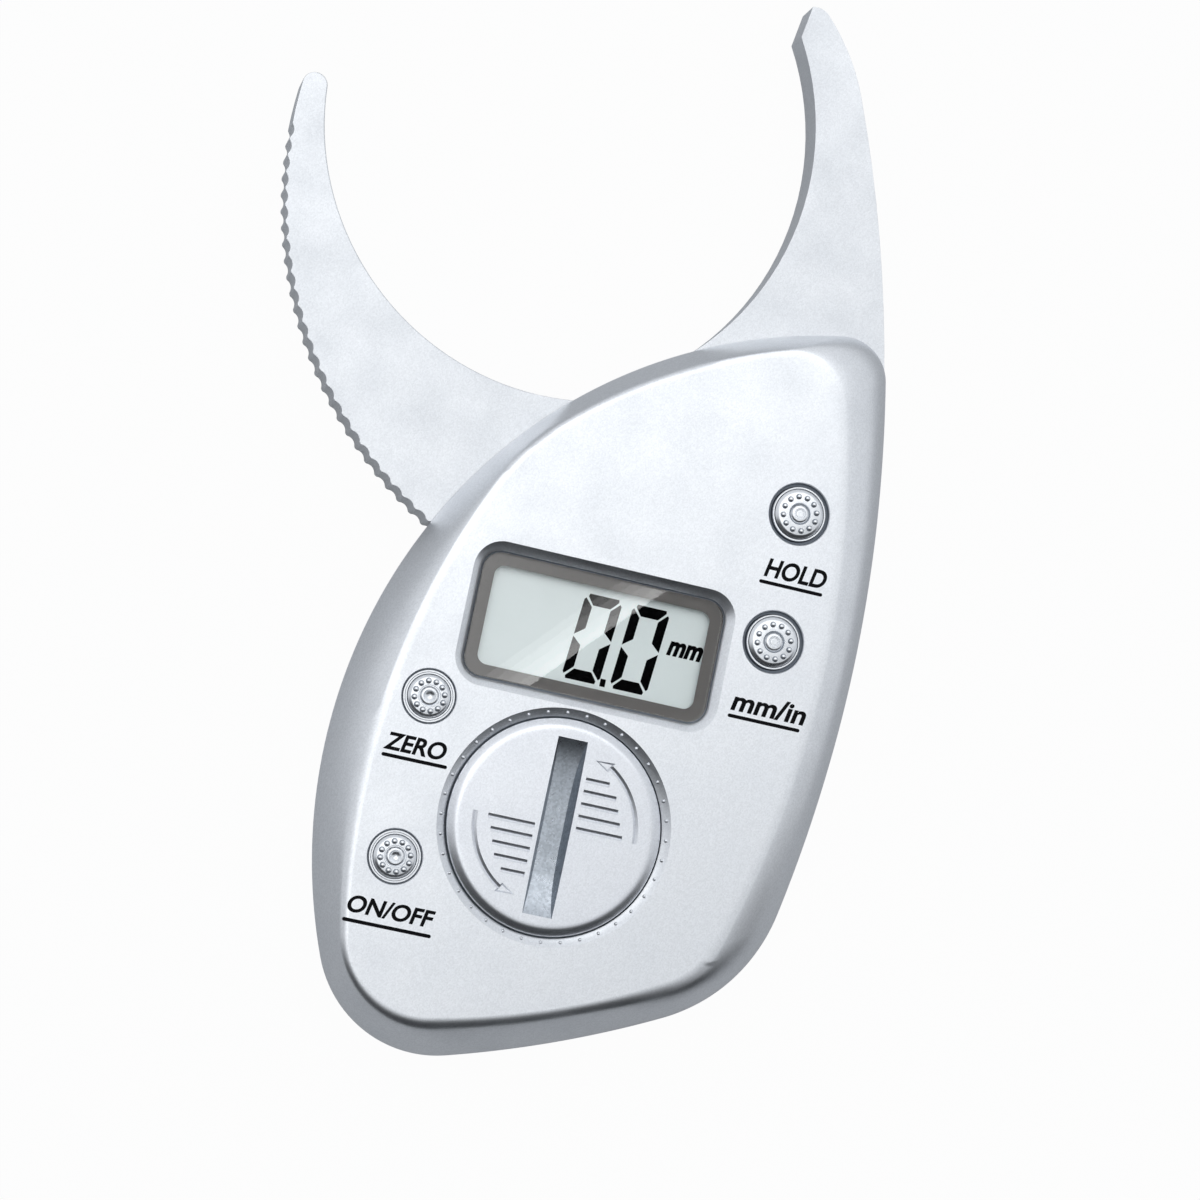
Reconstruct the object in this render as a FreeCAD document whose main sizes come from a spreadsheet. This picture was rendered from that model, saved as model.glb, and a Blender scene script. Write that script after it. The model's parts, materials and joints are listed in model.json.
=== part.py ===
import FreeCAD, Part
import math
import os
import re
import Sketcher
from FreeCAD import Vector

# A digital skinfold caliper. It lies on its back: Z is up through the face, Y runs towards the jaws and
# the origin is where the jaw's hinge axis meets the back face. The housing is a front and a rear shell.
# The rear shell carries the fixed jaw and a post, on which the movable jaw turns. A toothed sector on
# that jaw drives a pinion with a slotted wheel, which a sensor under the board reads.
# Every formula below is text in the words of the size sheet, and is bound to the sheet's cells.

SIZES = [
    # Heights above the back face
    ("floor_thickness", 2.0, "rear shell's floor"),
    ("jaw_seat", 3.5, "rear face of both jaws"),
    ("jaw_thickness", 6.0, "both jaws"),
    ("jaw_clearance", 0.3, "over and under the movable jaw"),
    ("front_wall", 1.8, "front shell's face"),
    ("side_wall", 1.8, "both shells' sides"),
    ("flank_wall", 1.45, "front shell's sides at its ceiling"),
    ("back_inset", 3.2, "how far the sides draw in towards the back"),
    ("back_edge", 1.2, "bevel of the back face's rim"),
    ("face_edge", 0.5, "bevel of the raised face's rim"),
    ("board_low", 10.3, "rear face of the circuit board"),
    ("board_thickness", 1.0, "circuit board"),
    # Widest outline of the housing, at the joint between the shells
    ("base_back_x", -27.4, "point on the long side, which runs round the left and the top"),
    ("base_back_y", -8.9, "point on the long side"),
    ("base_back_heading", 150.0, "direction in which that point faces, degrees"),
    ("base_back_curve", 82.2, "radius of the long side"),
    ("base_split_low", 155.0, "where the long side passes the face's shoulder, degrees"),
    ("base_split_high", 134.0, "where the long side leaves the face's shoulder, degrees"),
    ("base_right", 40.6, "reach to the right"),
    ("base_right_level", -16.6, "where the right side is widest"),
    ("base_right_curve", 230.0, "radius of the right side"),
    ("base_bottom_x", 3.9, "point on the bottom side"),
    ("base_bottom_y", -87.5, "point on the bottom side"),
    ("base_bottom_heading", -70.0, "direction in which that point faces, degrees"),
    ("base_bottom_curve", 175.0, "radius of the bottom side"),
    ("base_jaw_corner", 7.0, "corner radius, top to right"),
    ("base_heel", 27.4, "corner radius, right to bottom"),
    ("base_toe", 18.4, "corner radius, bottom to left"),
    # Outline of the raised face
    ("face_left", 32.6, "reach to the left"),
    ("face_left_level", -55.8, "where the left side is widest"),
    ("face_left_curve", 122.0, "radius of the left side"),
    ("face_right", 33.65, "reach to the right"),
    ("face_right_level", -20.7, "where the right side is widest"),
    ("face_right_curve", 148.4, "radius of the right side"),
    ("face_top_x", 2.15, "point on the top side"),
    ("face_top_y", 17.4, "point on the top side"),
    ("face_top_heading", 120.0, "direction in which that point faces, degrees"),
    ("face_top_curve", 85.0, "radius of the top side"),
    ("face_bottom_x", 3.5, "point on the bottom side"),
    ("face_bottom_y", -82.6, "point on the bottom side"),
    ("face_bottom_heading", -70.0, "direction in which that point faces, degrees"),
    ("face_bottom_curve", 119.0, "radius of the bottom side"),
    ("face_shoulder", 32.0, "corner radius, left to top"),
    ("face_jaw_corner", 8.3, "corner radius, top to right"),
    ("face_heel", 12.7, "corner radius, right to bottom"),
    ("face_toe", 13.3, "corner radius, bottom to left"),
    # Movable jaw, at its open stop
    ("swing_outer_x", 1.9, "centre of the outer edge's arc"),
    ("swing_outer_y", 44.0, "centre of the outer edge's arc"),
    ("swing_outer_curve", 65.4, "radius of the outer edge"),
    ("swing_inner_x", -17.7, "centre of the inner edge's arc"),
    ("swing_inner_y", 52.0, "centre of the inner edge's arc"),
    ("swing_inner_curve", 41.8, "radius of the inner edge"),
    ("swing_tip_radius", 1.95, "rounded tip"),
    ("swing_contact_heading", 139.9, "direction of the flat that meets the other jaw, degrees"),
    ("swing_root_heading", -112.0, "where the full thickness ends beside the sector, degrees"),
    ("swing_travel", 58.9, "turn from the open stop to the fixed jaw, degrees"),
    ("serration_pitch", 2.6, "spacing of the grip's scallops along the outer edge"),
    ("serration_depth", 0.45, "depth of a scallop"),
    ("serration_land", 0.5, "edge left between two scallops"),
    ("serration_count", 27, "scallops"),
    ("serration_heading", 182.5, "the scallop nearest the tip, seen from the arc's centre, degrees"),
    # Fixed jaw
    ("fixed_outer_x", -7.5, "centre of the upper outer edge's arc"),
    ("fixed_outer_y", 56.7, "centre of the upper outer edge's arc"),
    ("fixed_inner_x", -25.9, "centre of the inner edge's arc"),
    ("fixed_inner_y", 54.0, "centre of the inner edge's arc"),
    ("fixed_inner_curve", 44.3, "radius of the inner edge"),
    ("fixed_tip_radius", 2.85, "rounded tip"),
    ("fixed_contact_heading", 80.85, "direction of the flat that meets the other jaw, degrees"),
    ("fixed_root_level", 19.4, "where the inner edge ends, inside the housing"),
    ("fixed_foot_level", 20.0, "where the root ends at the right side"),
    # Hinge
    ("post_radius", 4.0, "pivot post"),
    ("running_gap", 0.05, "radial play of turning pieces"),
    ("seat_radius", 7.5, "raised seat round the post"),
    ("thrust_washer_thickness", 0.5, "under the jaw"),
    ("wave_washer_thickness", 0.5, "over the jaw"),
    ("pivot_washer_thickness", 0.8, "clamped to the post's end"),
    ("washer_radius", 6.5, "all three washers"),
    ("pivot_screw_radius", 1.4, "shank"),
    ("pivot_screw_length", 6.5, "shank"),
    ("pivot_head_radius", 2.8, "head"),
    ("pivot_head_height", 1.4, "head"),
    ("pivot_washer_play", 0.1, "washer round the screw"),
    # Sector and pinion
    ("gear_module", 0.8, "tooth size"),
    ("pressure_angle", 20.0, "degrees"),
    ("sector_teeth", 50, "teeth of a full turn"),
    ("sector_used_teeth", 12, "teeth that are cut"),
    ("pinion_teeth", 12, "teeth"),
    ("addendum_factor", 0.8, "tooth height over the pitch circle, in modules"),
    ("dedendum_factor", 1.05, "tooth depth under the pitch circle, in modules"),
    ("backlash", 0.16, "play between two teeth on the pitch circle"),
    ("sector_thickness", 2.5, "toothed sector"),
    ("axle_radius", 0.75, "encoder's axle"),
    ("axle_embedding", 1.0, "height of the axle's foot in the rear shell"),
    ("axle_boss_radius", 2.1, "boss round the axle"),
    ("axle_boss_gap", 0.3, "boss under the jaws' rear face"),
    ("axle_top_gap", 0.6, "axle's end under the board"),
    ("pinion_gap", 0.1, "pinion over the boss"),
    ("pinion_thickness", 3.0, "toothed length"),
    ("wheel_radius", 7.5, "slotted wheel"),
    ("wheel_thickness", 0.8, "slotted wheel"),
    ("wheel_slots", 24, "slots"),
    ("wheel_slot_width", 0.8, "one slot"),
    ("wheel_slot_length", 2.2, "one slot"),
    ("wheel_slot_inset", 1.8, "middle of a slot inside the rim"),
    ("wheel_flange_thickness", 0.6, "flange under the wheel"),
    ("wheel_flange_width", 0.8, "flange beyond the collar"),
    ("wheel_fit", 0.02, "wheel round its collar"),
    ("collar_radius", 2.2, "collar that carries the wheel"),
    ("collar_rise", 0.5, "collar over the wheel"),
    ("sensor_width", 6.0, "forked sensor"),
    ("sensor_length", 6.5, "forked sensor"),
    ("sensor_reach", 2.0, "fork over the wheel's rim"),
    ("sensor_mouth", 4.5, "depth of the fork"),
    ("sensor_arm", 1.2, "lower arm's thickness"),
    ("sensor_gap", 0.5, "over and under the wheel"),
    # Display
    ("display_x", -2.1, "centre"),
    ("display_y", -25.5, "centre"),
    ("border_side", 2.0, "printed border of the lens, left and right"),
    ("border_end", 1.875, "printed border of the lens, above and below"),
    ("window_corner", 1.6, "corner radius"),
    ("window_margin", 0.5, "opening in the ledge beyond the clear window"),
    ("lens_side_margin", 0.7, "lens beyond the display glass, left and right"),
    ("lens_end_margin", 0.3, "lens beyond the display glass, above and below"),
    ("lens_corner", 2.9, "corner radius"),
    ("lens_thickness", 0.9, "lens"),
    ("lens_drop", 1.0, "how far the lens lies under the raised face"),
    ("lens_gap", 0.15, "play round the lens"),
    ("lens_rim", 1.2, "bevel round the lens's recess"),
    ("lens_rim_depth", 0.9, "bevel round the lens's recess"),
    ("mask_thickness", 0.1, "printed frame behind the lens"),
    ("ledge_thickness", 0.75, "ledge that carries the lens"),
    ("ledge_width", 1.5, "ledge that carries the lens"),
    ("glass_length", 37.0, "display glass"),
    ("glass_width", 18.5, "display glass"),
    ("glass_thickness", 1.9, "display glass"),
    ("glass_play", 0.05, "round the display glass"),
    ("strip_height", 1.3, "rubber connector strips"),
    ("strip_width", 1.8, "rubber connector strips"),
    ("strip_gap", 0.1, "strips inside the frame's ledge"),
    ("frame_wall", 0.85, "display frame"),
    ("frame_ledge", 0.8, "ledge under the glass"),
    ("frame_lip", 0.1, "frame over the glass"),
    ("frame_gap", 0.15, "frame under the lens's ledge"),
    ("frame_boss_gap", 0.85, "frame beside the nearest case boss"),
    # Buttons
    ("hold_x", 25.3, "centre"),
    ("hold_y", 0.2, "centre"),
    ("units_x", 25.25, "centre"),
    ("units_y", -20.15, "centre"),
    ("zero_x", -25.4, "centre"),
    ("zero_y", -39.85, "centre"),
    ("power_x", -25.4, "centre"),
    ("power_y", -64.4, "centre"),
    ("large_cap_radius", 4.25, "hold and units caps"),
    ("small_cap_radius", 3.65, "zero and power caps"),
    ("cap_rise", 0.7, "cap over the raised face"),
    ("cap_edge", 0.5, "bevel of a cap"),
    ("cap_gap", 0.15, "play round a cap"),
    ("flange_width", 0.7, "flange that keeps a cap in"),
    ("flange_thickness", 0.5, "flange that keeps a cap in"),
    ("flange_gap", 0.1, "under the raised face's inner side"),
    ("well_width", 0.7, "bevelled ring round a cap"),
    ("well_depth", 0.6, "bevelled ring round a cap"),
    ("plunger_radius", 1.3, "under a cap"),
    ("dome_radius", 3.0, "snap dome"),
    ("dome_height", 0.6, "snap dome"),
    ("dome_foot", 0.6, "foot of a dome"),
    ("dome_sheet", 0.15, "metal of a dome"),
    # Battery
    ("battery_x", -2.5, "centre"),
    ("battery_y", -55.1, "centre"),
    ("cover_radius", 16.5, "cover's disc"),
    ("cover_rise", 0.4, "cover over the raised face"),
    ("cover_thickness", 1.45, "cover's rim"),
    ("cover_rim_width", 1.5, "bevel of the cover's rim"),
    ("cover_rim_height", 0.8, "bevel of the cover's rim"),
    ("cover_gap", 0.25, "play round the disc"),
    ("well_ring_width", 1.6, "sloping ring round the cover"),
    ("well_ring_depth", 0.9, "sloping ring round the cover"),
    ("plug_radius", 14.7, "ring under the cover"),
    ("plug_wall", 1.6, "ring under the cover"),
    ("plug_gap", 0.1, "that ring over the tub's floor"),
    ("tab_reach", 15.6, "bayonet tabs, from the middle"),
    ("tab_half_width", 3.0, "bayonet tabs"),
    ("tab_thickness", 0.6, "bayonet tabs"),
    ("tab_play", 0.1, "over the tabs"),
    ("tab_gap", 0.4, "round the tabs"),
    ("seat_gap", 0.05, "under the cover's rim and tabs"),
    ("bayonet_turn", 45.0, "turn from shut to open, degrees"),
    ("coin_slot_length", 27.5, "slot for a coin"),
    ("coin_slot_width", 4.4, "slot for a coin"),
    ("coin_slot_depth", 0.5, "at its ends"),
    ("coin_slot_middle_depth", 1.7, "in its middle"),
    ("tub_wall", 1.4, "round the bayonet"),
    ("tub_floor_rise", 1.1, "floor round the cell, over the cell's lower face"),
    ("tub_floor_thickness", 1.2, "floor round the cell"),
    ("cell_radius", 10.0, "coin cell"),
    ("cell_height", 3.2, "coin cell"),
    ("cell_lift", 0.6, "cell over the board"),
    ("cell_bevel", 0.7, "width of the bevel at the cell's lower rim"),
    ("cell_bevel_height", 0.5, "height of that bevel"),
    ("cell_gap", 0.3, "play round the cell"),
    ("cell_top_gap", 0.35, "cover over the cell"),
    ("contact_sheet", 0.25, "metal of the contacts"),
    ("contact_gap", 0.05, "between a contact and the cell"),
    ("negative_inner", 1.5, "hole in the middle of the cone spring"),
    ("negative_foot", 6.0, "foot of the cone spring"),
    ("positive_width", 4.0, "angle contact beside the cell"),
    ("positive_foot", 3.0, "its foot on the board"),
    # Fasteners
    ("case_screw_radius", 1.1, "shank"),
    ("case_head_radius", 2.4, "head"),
    ("case_head_height", 1.6, "head"),
    ("case_head_depth", 2.4, "pocket in the back"),
    ("case_screw_top", 14.0, "point"),
    ("case_boss_radius", 3.0, "bosses in both shells"),
    ("screw_play", 0.05, "radial play of a screw in its boss"),
    ("screw_gap", 0.2, "radial play of a screw in a clear hole"),
    ("head_gap", 0.3, "radial play of a head in its pocket"),
    ("point_gap", 0.3, "under a screw's point"),
    ("board_screw_radius", 0.8, "shank"),
    ("board_head_radius", 1.6, "head"),
    ("board_head_height", 0.8, "head"),
    ("board_screw_length", 4.0, "shank"),
    ("board_boss_radius", 2.0, "bosses in the front shell"),
    ("board_inset", 6.0, "board inside the housing's outline"),
    ("board_step", -9.0, "upper edge beside the hinge"),
    ("board_shoulder", 13.5, "left edge of the part under the hold button"),
    ("board_top", 6.5, "upper edge under the hold button"),
    ("board_boss_gap", 0.4, "board round the case bosses"),
    ("board_hole_gap", 0.1, "board round its own screws"),
    ("chip_x", 20.0, "centre of the sealed chip"),
    ("chip_y", -54.5, "centre of the sealed chip"),
    ("chip_radius", 3.4, "its drop of resin"),
    ("chip_height", 1.4, "its drop of resin"),
    ("chip_shoulder_radius", 2.6, "where the drop rounds over"),
    ("chip_shoulder_height", 1.1, "where the drop rounds over"),
    ("crystal_x", 21.5, "centre of the crystal"),
    ("crystal_y", -37.3, "centre of the crystal"),
    ("crystal_length", 6.4, "crystal's can"),
    ("crystal_width", 2.4, "crystal's can"),
    ("crystal_height", 2.2, "crystal's can"),
    ("crystal_corner", 1.1, "crystal's can"),
]
SIDE_SCREW_X = "(display_x - glass_length / 2 - frame_wall - frame_boss_gap - case_boss_radius)"
CASE_SCREWS = [(-22.5, -80.0), (21.5, -66.0), (SIDE_SCREW_X, -27.0), (25.5, 11.5)]
BOARD_SCREWS = [(12.0, -11.5), (2.0, -77.0)]

JAW_TOP = "(jaw_seat + jaw_thickness)"
PARTING = "(jaw_seat + jaw_thickness + jaw_clearance)"
BOARD_TOP = "(board_low + board_thickness)"
HUB_RADIUS = "(sqrt(swing_inner_x ^ 2 + swing_inner_y ^ 2) - swing_inner_curve)"
SECTOR_PITCH = "(gear_module * sector_teeth / 2)"
PINION_PITCH = "(gear_module * pinion_teeth / 2)"
PINION_Y = f"(0 - {SECTOR_PITCH} - {PINION_PITCH})"
SEAT_TOP = "(jaw_seat - thrust_washer_thickness)"
POST_TOP = f"({JAW_TOP} + wave_washer_thickness)"
AXLE_BOSS_TOP = "(jaw_seat - axle_boss_gap)"
PINION_LOW = f"({AXLE_BOSS_TOP} + pinion_gap)"
PINION_TOP = f"({PINION_LOW} + pinion_thickness)"
WHEEL_LOW = f"({PINION_TOP} + wheel_flange_thickness)"
WHEEL_TOP = f"({WHEEL_LOW} + wheel_thickness)"
LENS_LENGTH = "(glass_length + 2 * lens_side_margin)"
LENS_WIDTH = "(glass_width + 2 * lens_end_margin)"
WINDOW_LENGTH = f"({LENS_LENGTH} - 2 * border_side)"
WINDOW_WIDTH = f"({LENS_WIDTH} - 2 * border_end)"
GLASS_LOW = f"({BOARD_TOP} + strip_height)"
GLASS_TOP = f"({GLASS_LOW} + glass_thickness)"
LEDGE_LOW = f"({GLASS_TOP} + frame_lip + frame_gap)"
LEDGE_TOP = f"({LEDGE_LOW} + ledge_thickness)"
LENS_LOW = f"({LEDGE_TOP} + mask_thickness)"
LENS_TOP = f"({LENS_LOW} + lens_thickness)"
FACE_TOP = f"({LENS_TOP} + lens_drop)"
CEILING = f"({FACE_TOP} - front_wall)"
ABOVE = f"({FACE_TOP} + front_wall)"
CELL_LOW = f"({BOARD_TOP} + cell_lift)"
CELL_TOP = f"({CELL_LOW} + cell_height)"
COVER_TOP = f"({FACE_TOP} + cover_rise)"
COVER_LOW = f"({COVER_TOP} - cover_thickness)"
SEAT_LEVEL = f"({COVER_LOW} - seat_gap)"
TUB_LOW = f"({CELL_LOW} + tub_floor_rise)"
TUB_FLOOR = f"({TUB_LOW} + tub_floor_thickness)"
PLUG_LOW = f"({TUB_FLOOR} + plug_gap)"
TAB_LOW = f"({PLUG_LOW} + seat_gap)"
TAB_TOP = f"({TAB_LOW} + tab_thickness)"
BUTTONS = {"hold": "large", "units": "large", "zero": "small", "power": "small"}

doc = FreeCAD.newDocument("SkinfoldCaliper")
sheet = doc.addObject("Spreadsheet::Sheet", "Sizes")
for row, (alias, size, meaning) in enumerate(SIZES, start=1):
    sheet.set(f"A{row}", meaning)
    sheet.set(f"B{row}", str(size))
    sheet.setAlias(f"B{row}", alias)
doc.recompute()
ALIASES = {alias for alias, _, _ in SIZES}
pieces = []


def bound(formula):
    """The formula with each size word turned into a reference to its cell."""
    def reference(word):
        return f"Sizes.{word[0]}" if word[0] in ALIASES else word[0]

    return re.sub(r"[a-z_]+", reference, str(formula))


def number(formula):
    """The present value of a formula."""
    return float(sheet.evalExpression(bound(formula)))


def point(x, y):
    """The present place of a point given by two formulas."""
    return Vector(number(x), number(y), 0)


def towards(degrees):
    """The unit vector in a direction."""
    return Vector(math.cos(math.radians(degrees)), math.sin(math.radians(degrees)), 0)


def heading(vector):
    """The direction of a vector, in radians."""
    return math.atan2(vector.y, vector.x)


# Sketches ------------------------------------------------------------------------------------------

def new_body(name):
    """A sub-part, whose name is also the name of its file."""
    body = doc.addObject("PartDesign::Body", name)
    body.Label = name
    pieces.append(body)
    return body


def plane(body, role):
    """One of the body's own origin planes."""
    return next(item for item in body.Origin.OriginFeatures if item.Role == role)


def flat_sketch(body, level, x="0", y="0", turn="0"):
    """A sketch parallel to the back face, with its own origin and turn."""
    sketch = body.newObject("Sketcher::SketchObject", "FlatSketch")
    sketch.AttachmentSupport = (plane(body, "XY_Plane"), [""])
    sketch.MapMode = "FlatFace"
    sketch.setExpression("AttachmentOffset.Base.x", bound(x))
    sketch.setExpression("AttachmentOffset.Base.y", bound(y))
    sketch.setExpression("AttachmentOffset.Base.z", bound(level))
    sketch.setExpression("AttachmentOffset.Rotation.Angle", bound(f"({turn}) * 1 deg"))
    return sketch


def upright_sketch(body, x, y):
    """A sketch in the plane of X and Z, whose vertical axis stands at (x, y)."""
    sketch = body.newObject("Sketcher::SketchObject", "UprightSketch")
    sketch.AttachmentSupport = (plane(body, "XZ_Plane"), [""])
    sketch.MapMode = "FlatFace"
    sketch.setExpression("AttachmentOffset.Base.x", bound(x))
    sketch.setExpression("AttachmentOffset.Base.z", bound(f"0 - ({y})"))
    return sketch


def tie(sketch, kind, *where, to):
    """Add a dimension and bind it to a formula."""
    index = sketch.addConstraint(Sketcher.Constraint(kind, *where, number(to)))
    sketch.setExpression(f"Constraints[{index}]", bound(to))


def pin_point(sketch, geometry, end, x, y):
    """Fix a point of the sketch at two formulas."""
    for kind, axis, place in (("DistanceX", -2, x), ("DistanceY", -1, y)):
        if str(place) == "0":
            sketch.addConstraint(Sketcher.Constraint("PointOnObject", geometry, end, axis))
        else:
            tie(sketch, kind, -1, 1, geometry, end, to=place)


def circle(sketch, radius, x="0", y="0"):
    """A circle fixed by its centre and radius."""
    ring = sketch.addGeometry(Part.Circle(point(x, y), Vector(0, 0, 1), number(radius)))
    pin_point(sketch, ring, 3, x, y)
    tie(sketch, "Radius", ring, to=radius)


def polygon(sketch, corners):
    """A closed outline of straight lines, each corner fixed by two formulas."""
    places = [point(x, y) for x, y in corners]
    lines = [
        sketch.addGeometry(Part.LineSegment(places[i], places[(i + 1) % len(places)]))
        for i in range(len(places))
    ]
    for i, line in enumerate(lines):
        sketch.addConstraint(Sketcher.Constraint("Coincident", lines[i - 1], 2, line, 1))
        pin_point(sketch, line, 1, *corners[i])


def rectangle(sketch, x, y, length, width):
    """A rectangle round the point (x, y)."""
    left, right = f"{x} - ({length}) / 2", f"{x} + ({length}) / 2"
    low, high = f"{y} - ({width}) / 2", f"{y} + ({width}) / 2"
    polygon(sketch, [(left, low), (right, low), (right, high), (left, high)])


def rounded_rectangle(sketch, x, y, length, width, corner):
    """A rectangle round the point (x, y) with round corners."""
    arcs = []
    for quarter, (side, rise) in enumerate(((1, 1), (-1, 1), (-1, -1), (1, -1))):
        centre_x = f"{x} + {side} * (({length}) / 2 - ({corner}))"
        centre_y = f"{y} + {rise} * (({width}) / 2 - ({corner}))"
        round_corner = Part.Circle(point(centre_x, centre_y), Vector(0, 0, 1), number(corner))
        start = quarter * math.pi / 2
        arc = sketch.addGeometry(Part.ArcOfCircle(round_corner, start, start + math.pi / 2))
        pin_point(sketch, arc, 3, centre_x, centre_y)
        tie(sketch, "Radius", arc, to=corner)
        arcs.append(arc)
    for arc, following in zip(arcs, arcs[1:] + arcs[:1]):
        line = Part.LineSegment(sketch.getPoint(arc, 2), sketch.getPoint(following, 1))
        side = sketch.addGeometry(line)
        sketch.addConstraint(Sketcher.Constraint("Tangent", arc, 2, side, 1))
        sketch.addConstraint(Sketcher.Constraint("Tangent", side, 2, following, 1))


def add_arc(sketch, centre, radius, start, finish):
    """An arc that runs anticlockwise from one direction to another."""
    whole = Part.Circle(centre, Vector(0, 0, 1), radius)
    return sketch.addGeometry(Part.ArcOfCircle(whole, heading(start), heading(finish)))


def meeting(first, first_distance, second, second_distance, side):
    """The point at two distances from two centres, on the side that a vector names."""
    across = second - first
    span = across.Length
    along = (first_distance ** 2 - second_distance ** 2 + span ** 2) / (2 * span)
    rise = math.sqrt(first_distance ** 2 - along ** 2)
    across.normalize()
    normal = Vector(-across.y, across.x, 0)
    choices = [first + across * along + normal * step for step in (rise, -rise)]
    return max(choices, key=lambda place: (place - first).dot(side))


def side_centre(x, y, curve, facing):
    """Formulas for the centre of a side that passes a point, facing a direction there."""
    return f"{x} - {curve} * cos({facing})", f"{y} - {curve} * sin({facing})"


def leaf(sketch, outline, inset="0"):
    """The housing's outline: long arcs joined by round corners, drawn in by an inset.

    All arcs keep their centres when the outline is drawn in, so walls keep their thickness. The face
    has four sides and four corners. The base's left side, shoulder and top are one long arc, divided
    in three so that both outlines have the same number of arcs.
    """
    right = side_centre(f"{outline}_right", f"{outline}_right_level", f"{outline}_right_curve", "0")
    bottom = side_centre(f"{outline}_bottom_x", f"{outline}_bottom_y", f"{outline}_bottom_curve",
                         f"{outline}_bottom_heading")
    if outline == "base":
        back = side_centre("base_back_x", "base_back_y", "base_back_curve", "base_back_heading")
        centres = [back, back, right, bottom]
        names = ["back_curve", "back_curve", "right_curve", "bottom_curve"]
        headings = ["180", "base_split_high", "0", "base_bottom_heading"]
    else:
        left = side_centre("0 - face_left", "face_left_level", "face_left_curve", "180")
        top = side_centre("face_top_x", "face_top_y", "face_top_curve", "face_top_heading")
        centres = [left, top, right, bottom]
        names = ["left_curve", "top_curve", "right_curve", "bottom_curve"]
        headings = ["180", "face_top_heading", "0", "face_bottom_heading"]
    corner_names = ["back_curve" if outline == "base" else "shoulder", "jaw_corner", "heel", "toe"]
    radii = [f"{outline}_{name} - ({inset})" for name in names]
    corner_radii = [f"{outline}_{name} - ({inset})" for name in corner_names]
    middles = [point(*centre) for centre in centres]
    corners, starts, finishes = [], [], []
    for i, radius in enumerate(corner_radii):
        after = (i + 1) % 4
        if outline == "base" and i == 0:
            corners.append(middles[0])
            starts.append(towards(number("base_split_high")))
            finishes.append(towards(number("base_split_low")))
            continue
        facing = towards(number(headings[i])) + towards(number(headings[after]))
        reach = [number(radii[side]) - number(radius) for side in (i, after)]
        corners.append(meeting(middles[i], reach[0], middles[after], reach[1], facing))
        starts.append(corners[i] - middles[after])
        finishes.append(corners[i] - middles[i])
    sides = [add_arc(sketch, middles[i], number(radii[i]), finishes[i], starts[i - 1]) for i in range(4)]
    rounds = [add_arc(sketch, corners[i], number(corner_radii[i]), starts[i], finishes[i]) for i in range(4)]
    for i in range(4):
        after = sides[(i + 1) % 4]
        if outline == "base" and i == 0:
            share_centre(sketch, sides[0], rounds[0], after)
            for arc, split in ((sides[0], "base_split_low"), (rounds[0], "base_split_high")):
                tie(sketch, "DistanceY", -1, 1, arc, 1, to=f"{centres[0][1]} + ({radii[0]}) * sin({split})")
        else:
            sketch.addConstraint(Sketcher.Constraint("Tangent", sides[i], 1, rounds[i], 2))
            sketch.addConstraint(Sketcher.Constraint("Tangent", rounds[i], 1, after, 2))
            tie(sketch, "Radius", rounds[i], to=corner_radii[i])
        if outline == "face" or i != 1:
            pin_point(sketch, sides[i], 3, *centres[i])
            tie(sketch, "Radius", sides[i], to=radii[i])


def share_centre(sketch, first, middle, last):
    """Join three arcs of one circle end to end."""
    sketch.addConstraint([
        Sketcher.Constraint("Coincident", middle, 3, first, 3),
        Sketcher.Constraint("Coincident", last, 3, first, 3),
        Sketcher.Constraint("Coincident", middle, 2, first, 1),
        Sketcher.Constraint("Coincident", last, 2, middle, 1),
    ])


# Features ------------------------------------------------------------------------------------------

def pad(body, low, high, draw, **place):
    """Add the drawn outline between two heights."""
    sketch = flat_sketch(body, low, **place)
    draw(sketch)
    feature = body.newObject("PartDesign::Pad", "Pad")
    feature.Profile = sketch
    feature.setExpression("Length", bound(f"({high}) - ({low})"))
    return feature


def cut(body, low, high, draw, **place):
    """Cut the drawn outline away between two heights."""
    sketch = flat_sketch(body, high, **place)
    draw(sketch)
    feature = body.newObject("PartDesign::Pocket", "Pocket")
    feature.Profile = sketch
    feature.setExpression("Length", bound(f"({high}) - ({low})"))
    return feature


def loft(body, kind, low, draw_low, high, draw_high):
    """Join two outlines at two heights."""
    bottom, top = flat_sketch(body, low), flat_sketch(body, high)
    draw_low(bottom)
    draw_high(top)
    feature = body.newObject(f"PartDesign::{kind}Loft", "Loft")
    feature.Profile = bottom
    feature.Sections = [top]
    return feature


def turned(body, kind, x, y, corners):
    """Turn a profile of (radius, height) corners about the upright axis at (x, y)."""
    sketch = upright_sketch(body, x, y)
    polygon(sketch, corners)
    feature = body.newObject(f"PartDesign::{kind}", kind)
    feature.Profile = sketch
    feature.ReferenceAxis = (sketch, ["V_Axis"])
    feature.Angle = 360
    return feature


def around(body, feature, count, angle="360"):
    """Repeat a feature about the axis through its own sketch's origin."""
    pattern = body.newObject("PartDesign::PolarPattern", "Pattern")
    pattern.Originals = [feature]
    pattern.Axis = (feature.Profile[0], ["N_Axis"])
    pattern.setExpression("Angle", bound(f"({angle}) * 1 deg"))
    pattern.setExpression("Occurrences", bound(count))
    body.Tip = pattern
    return pattern


def ring(name, x, y, low, high, outer, inner):
    """A plain washer or sleeve."""
    body = new_body(name)
    corners = [(inner, low), (outer, low), (outer, high), (inner, high)]
    turned(body, "Revolution", x, y, corners)
    return body


# Gear teeth ----------------------------------------------------------------------------------------

def involute(angle):
    """The involute function of an angle in radians."""
    return math.tan(angle) - angle


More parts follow.
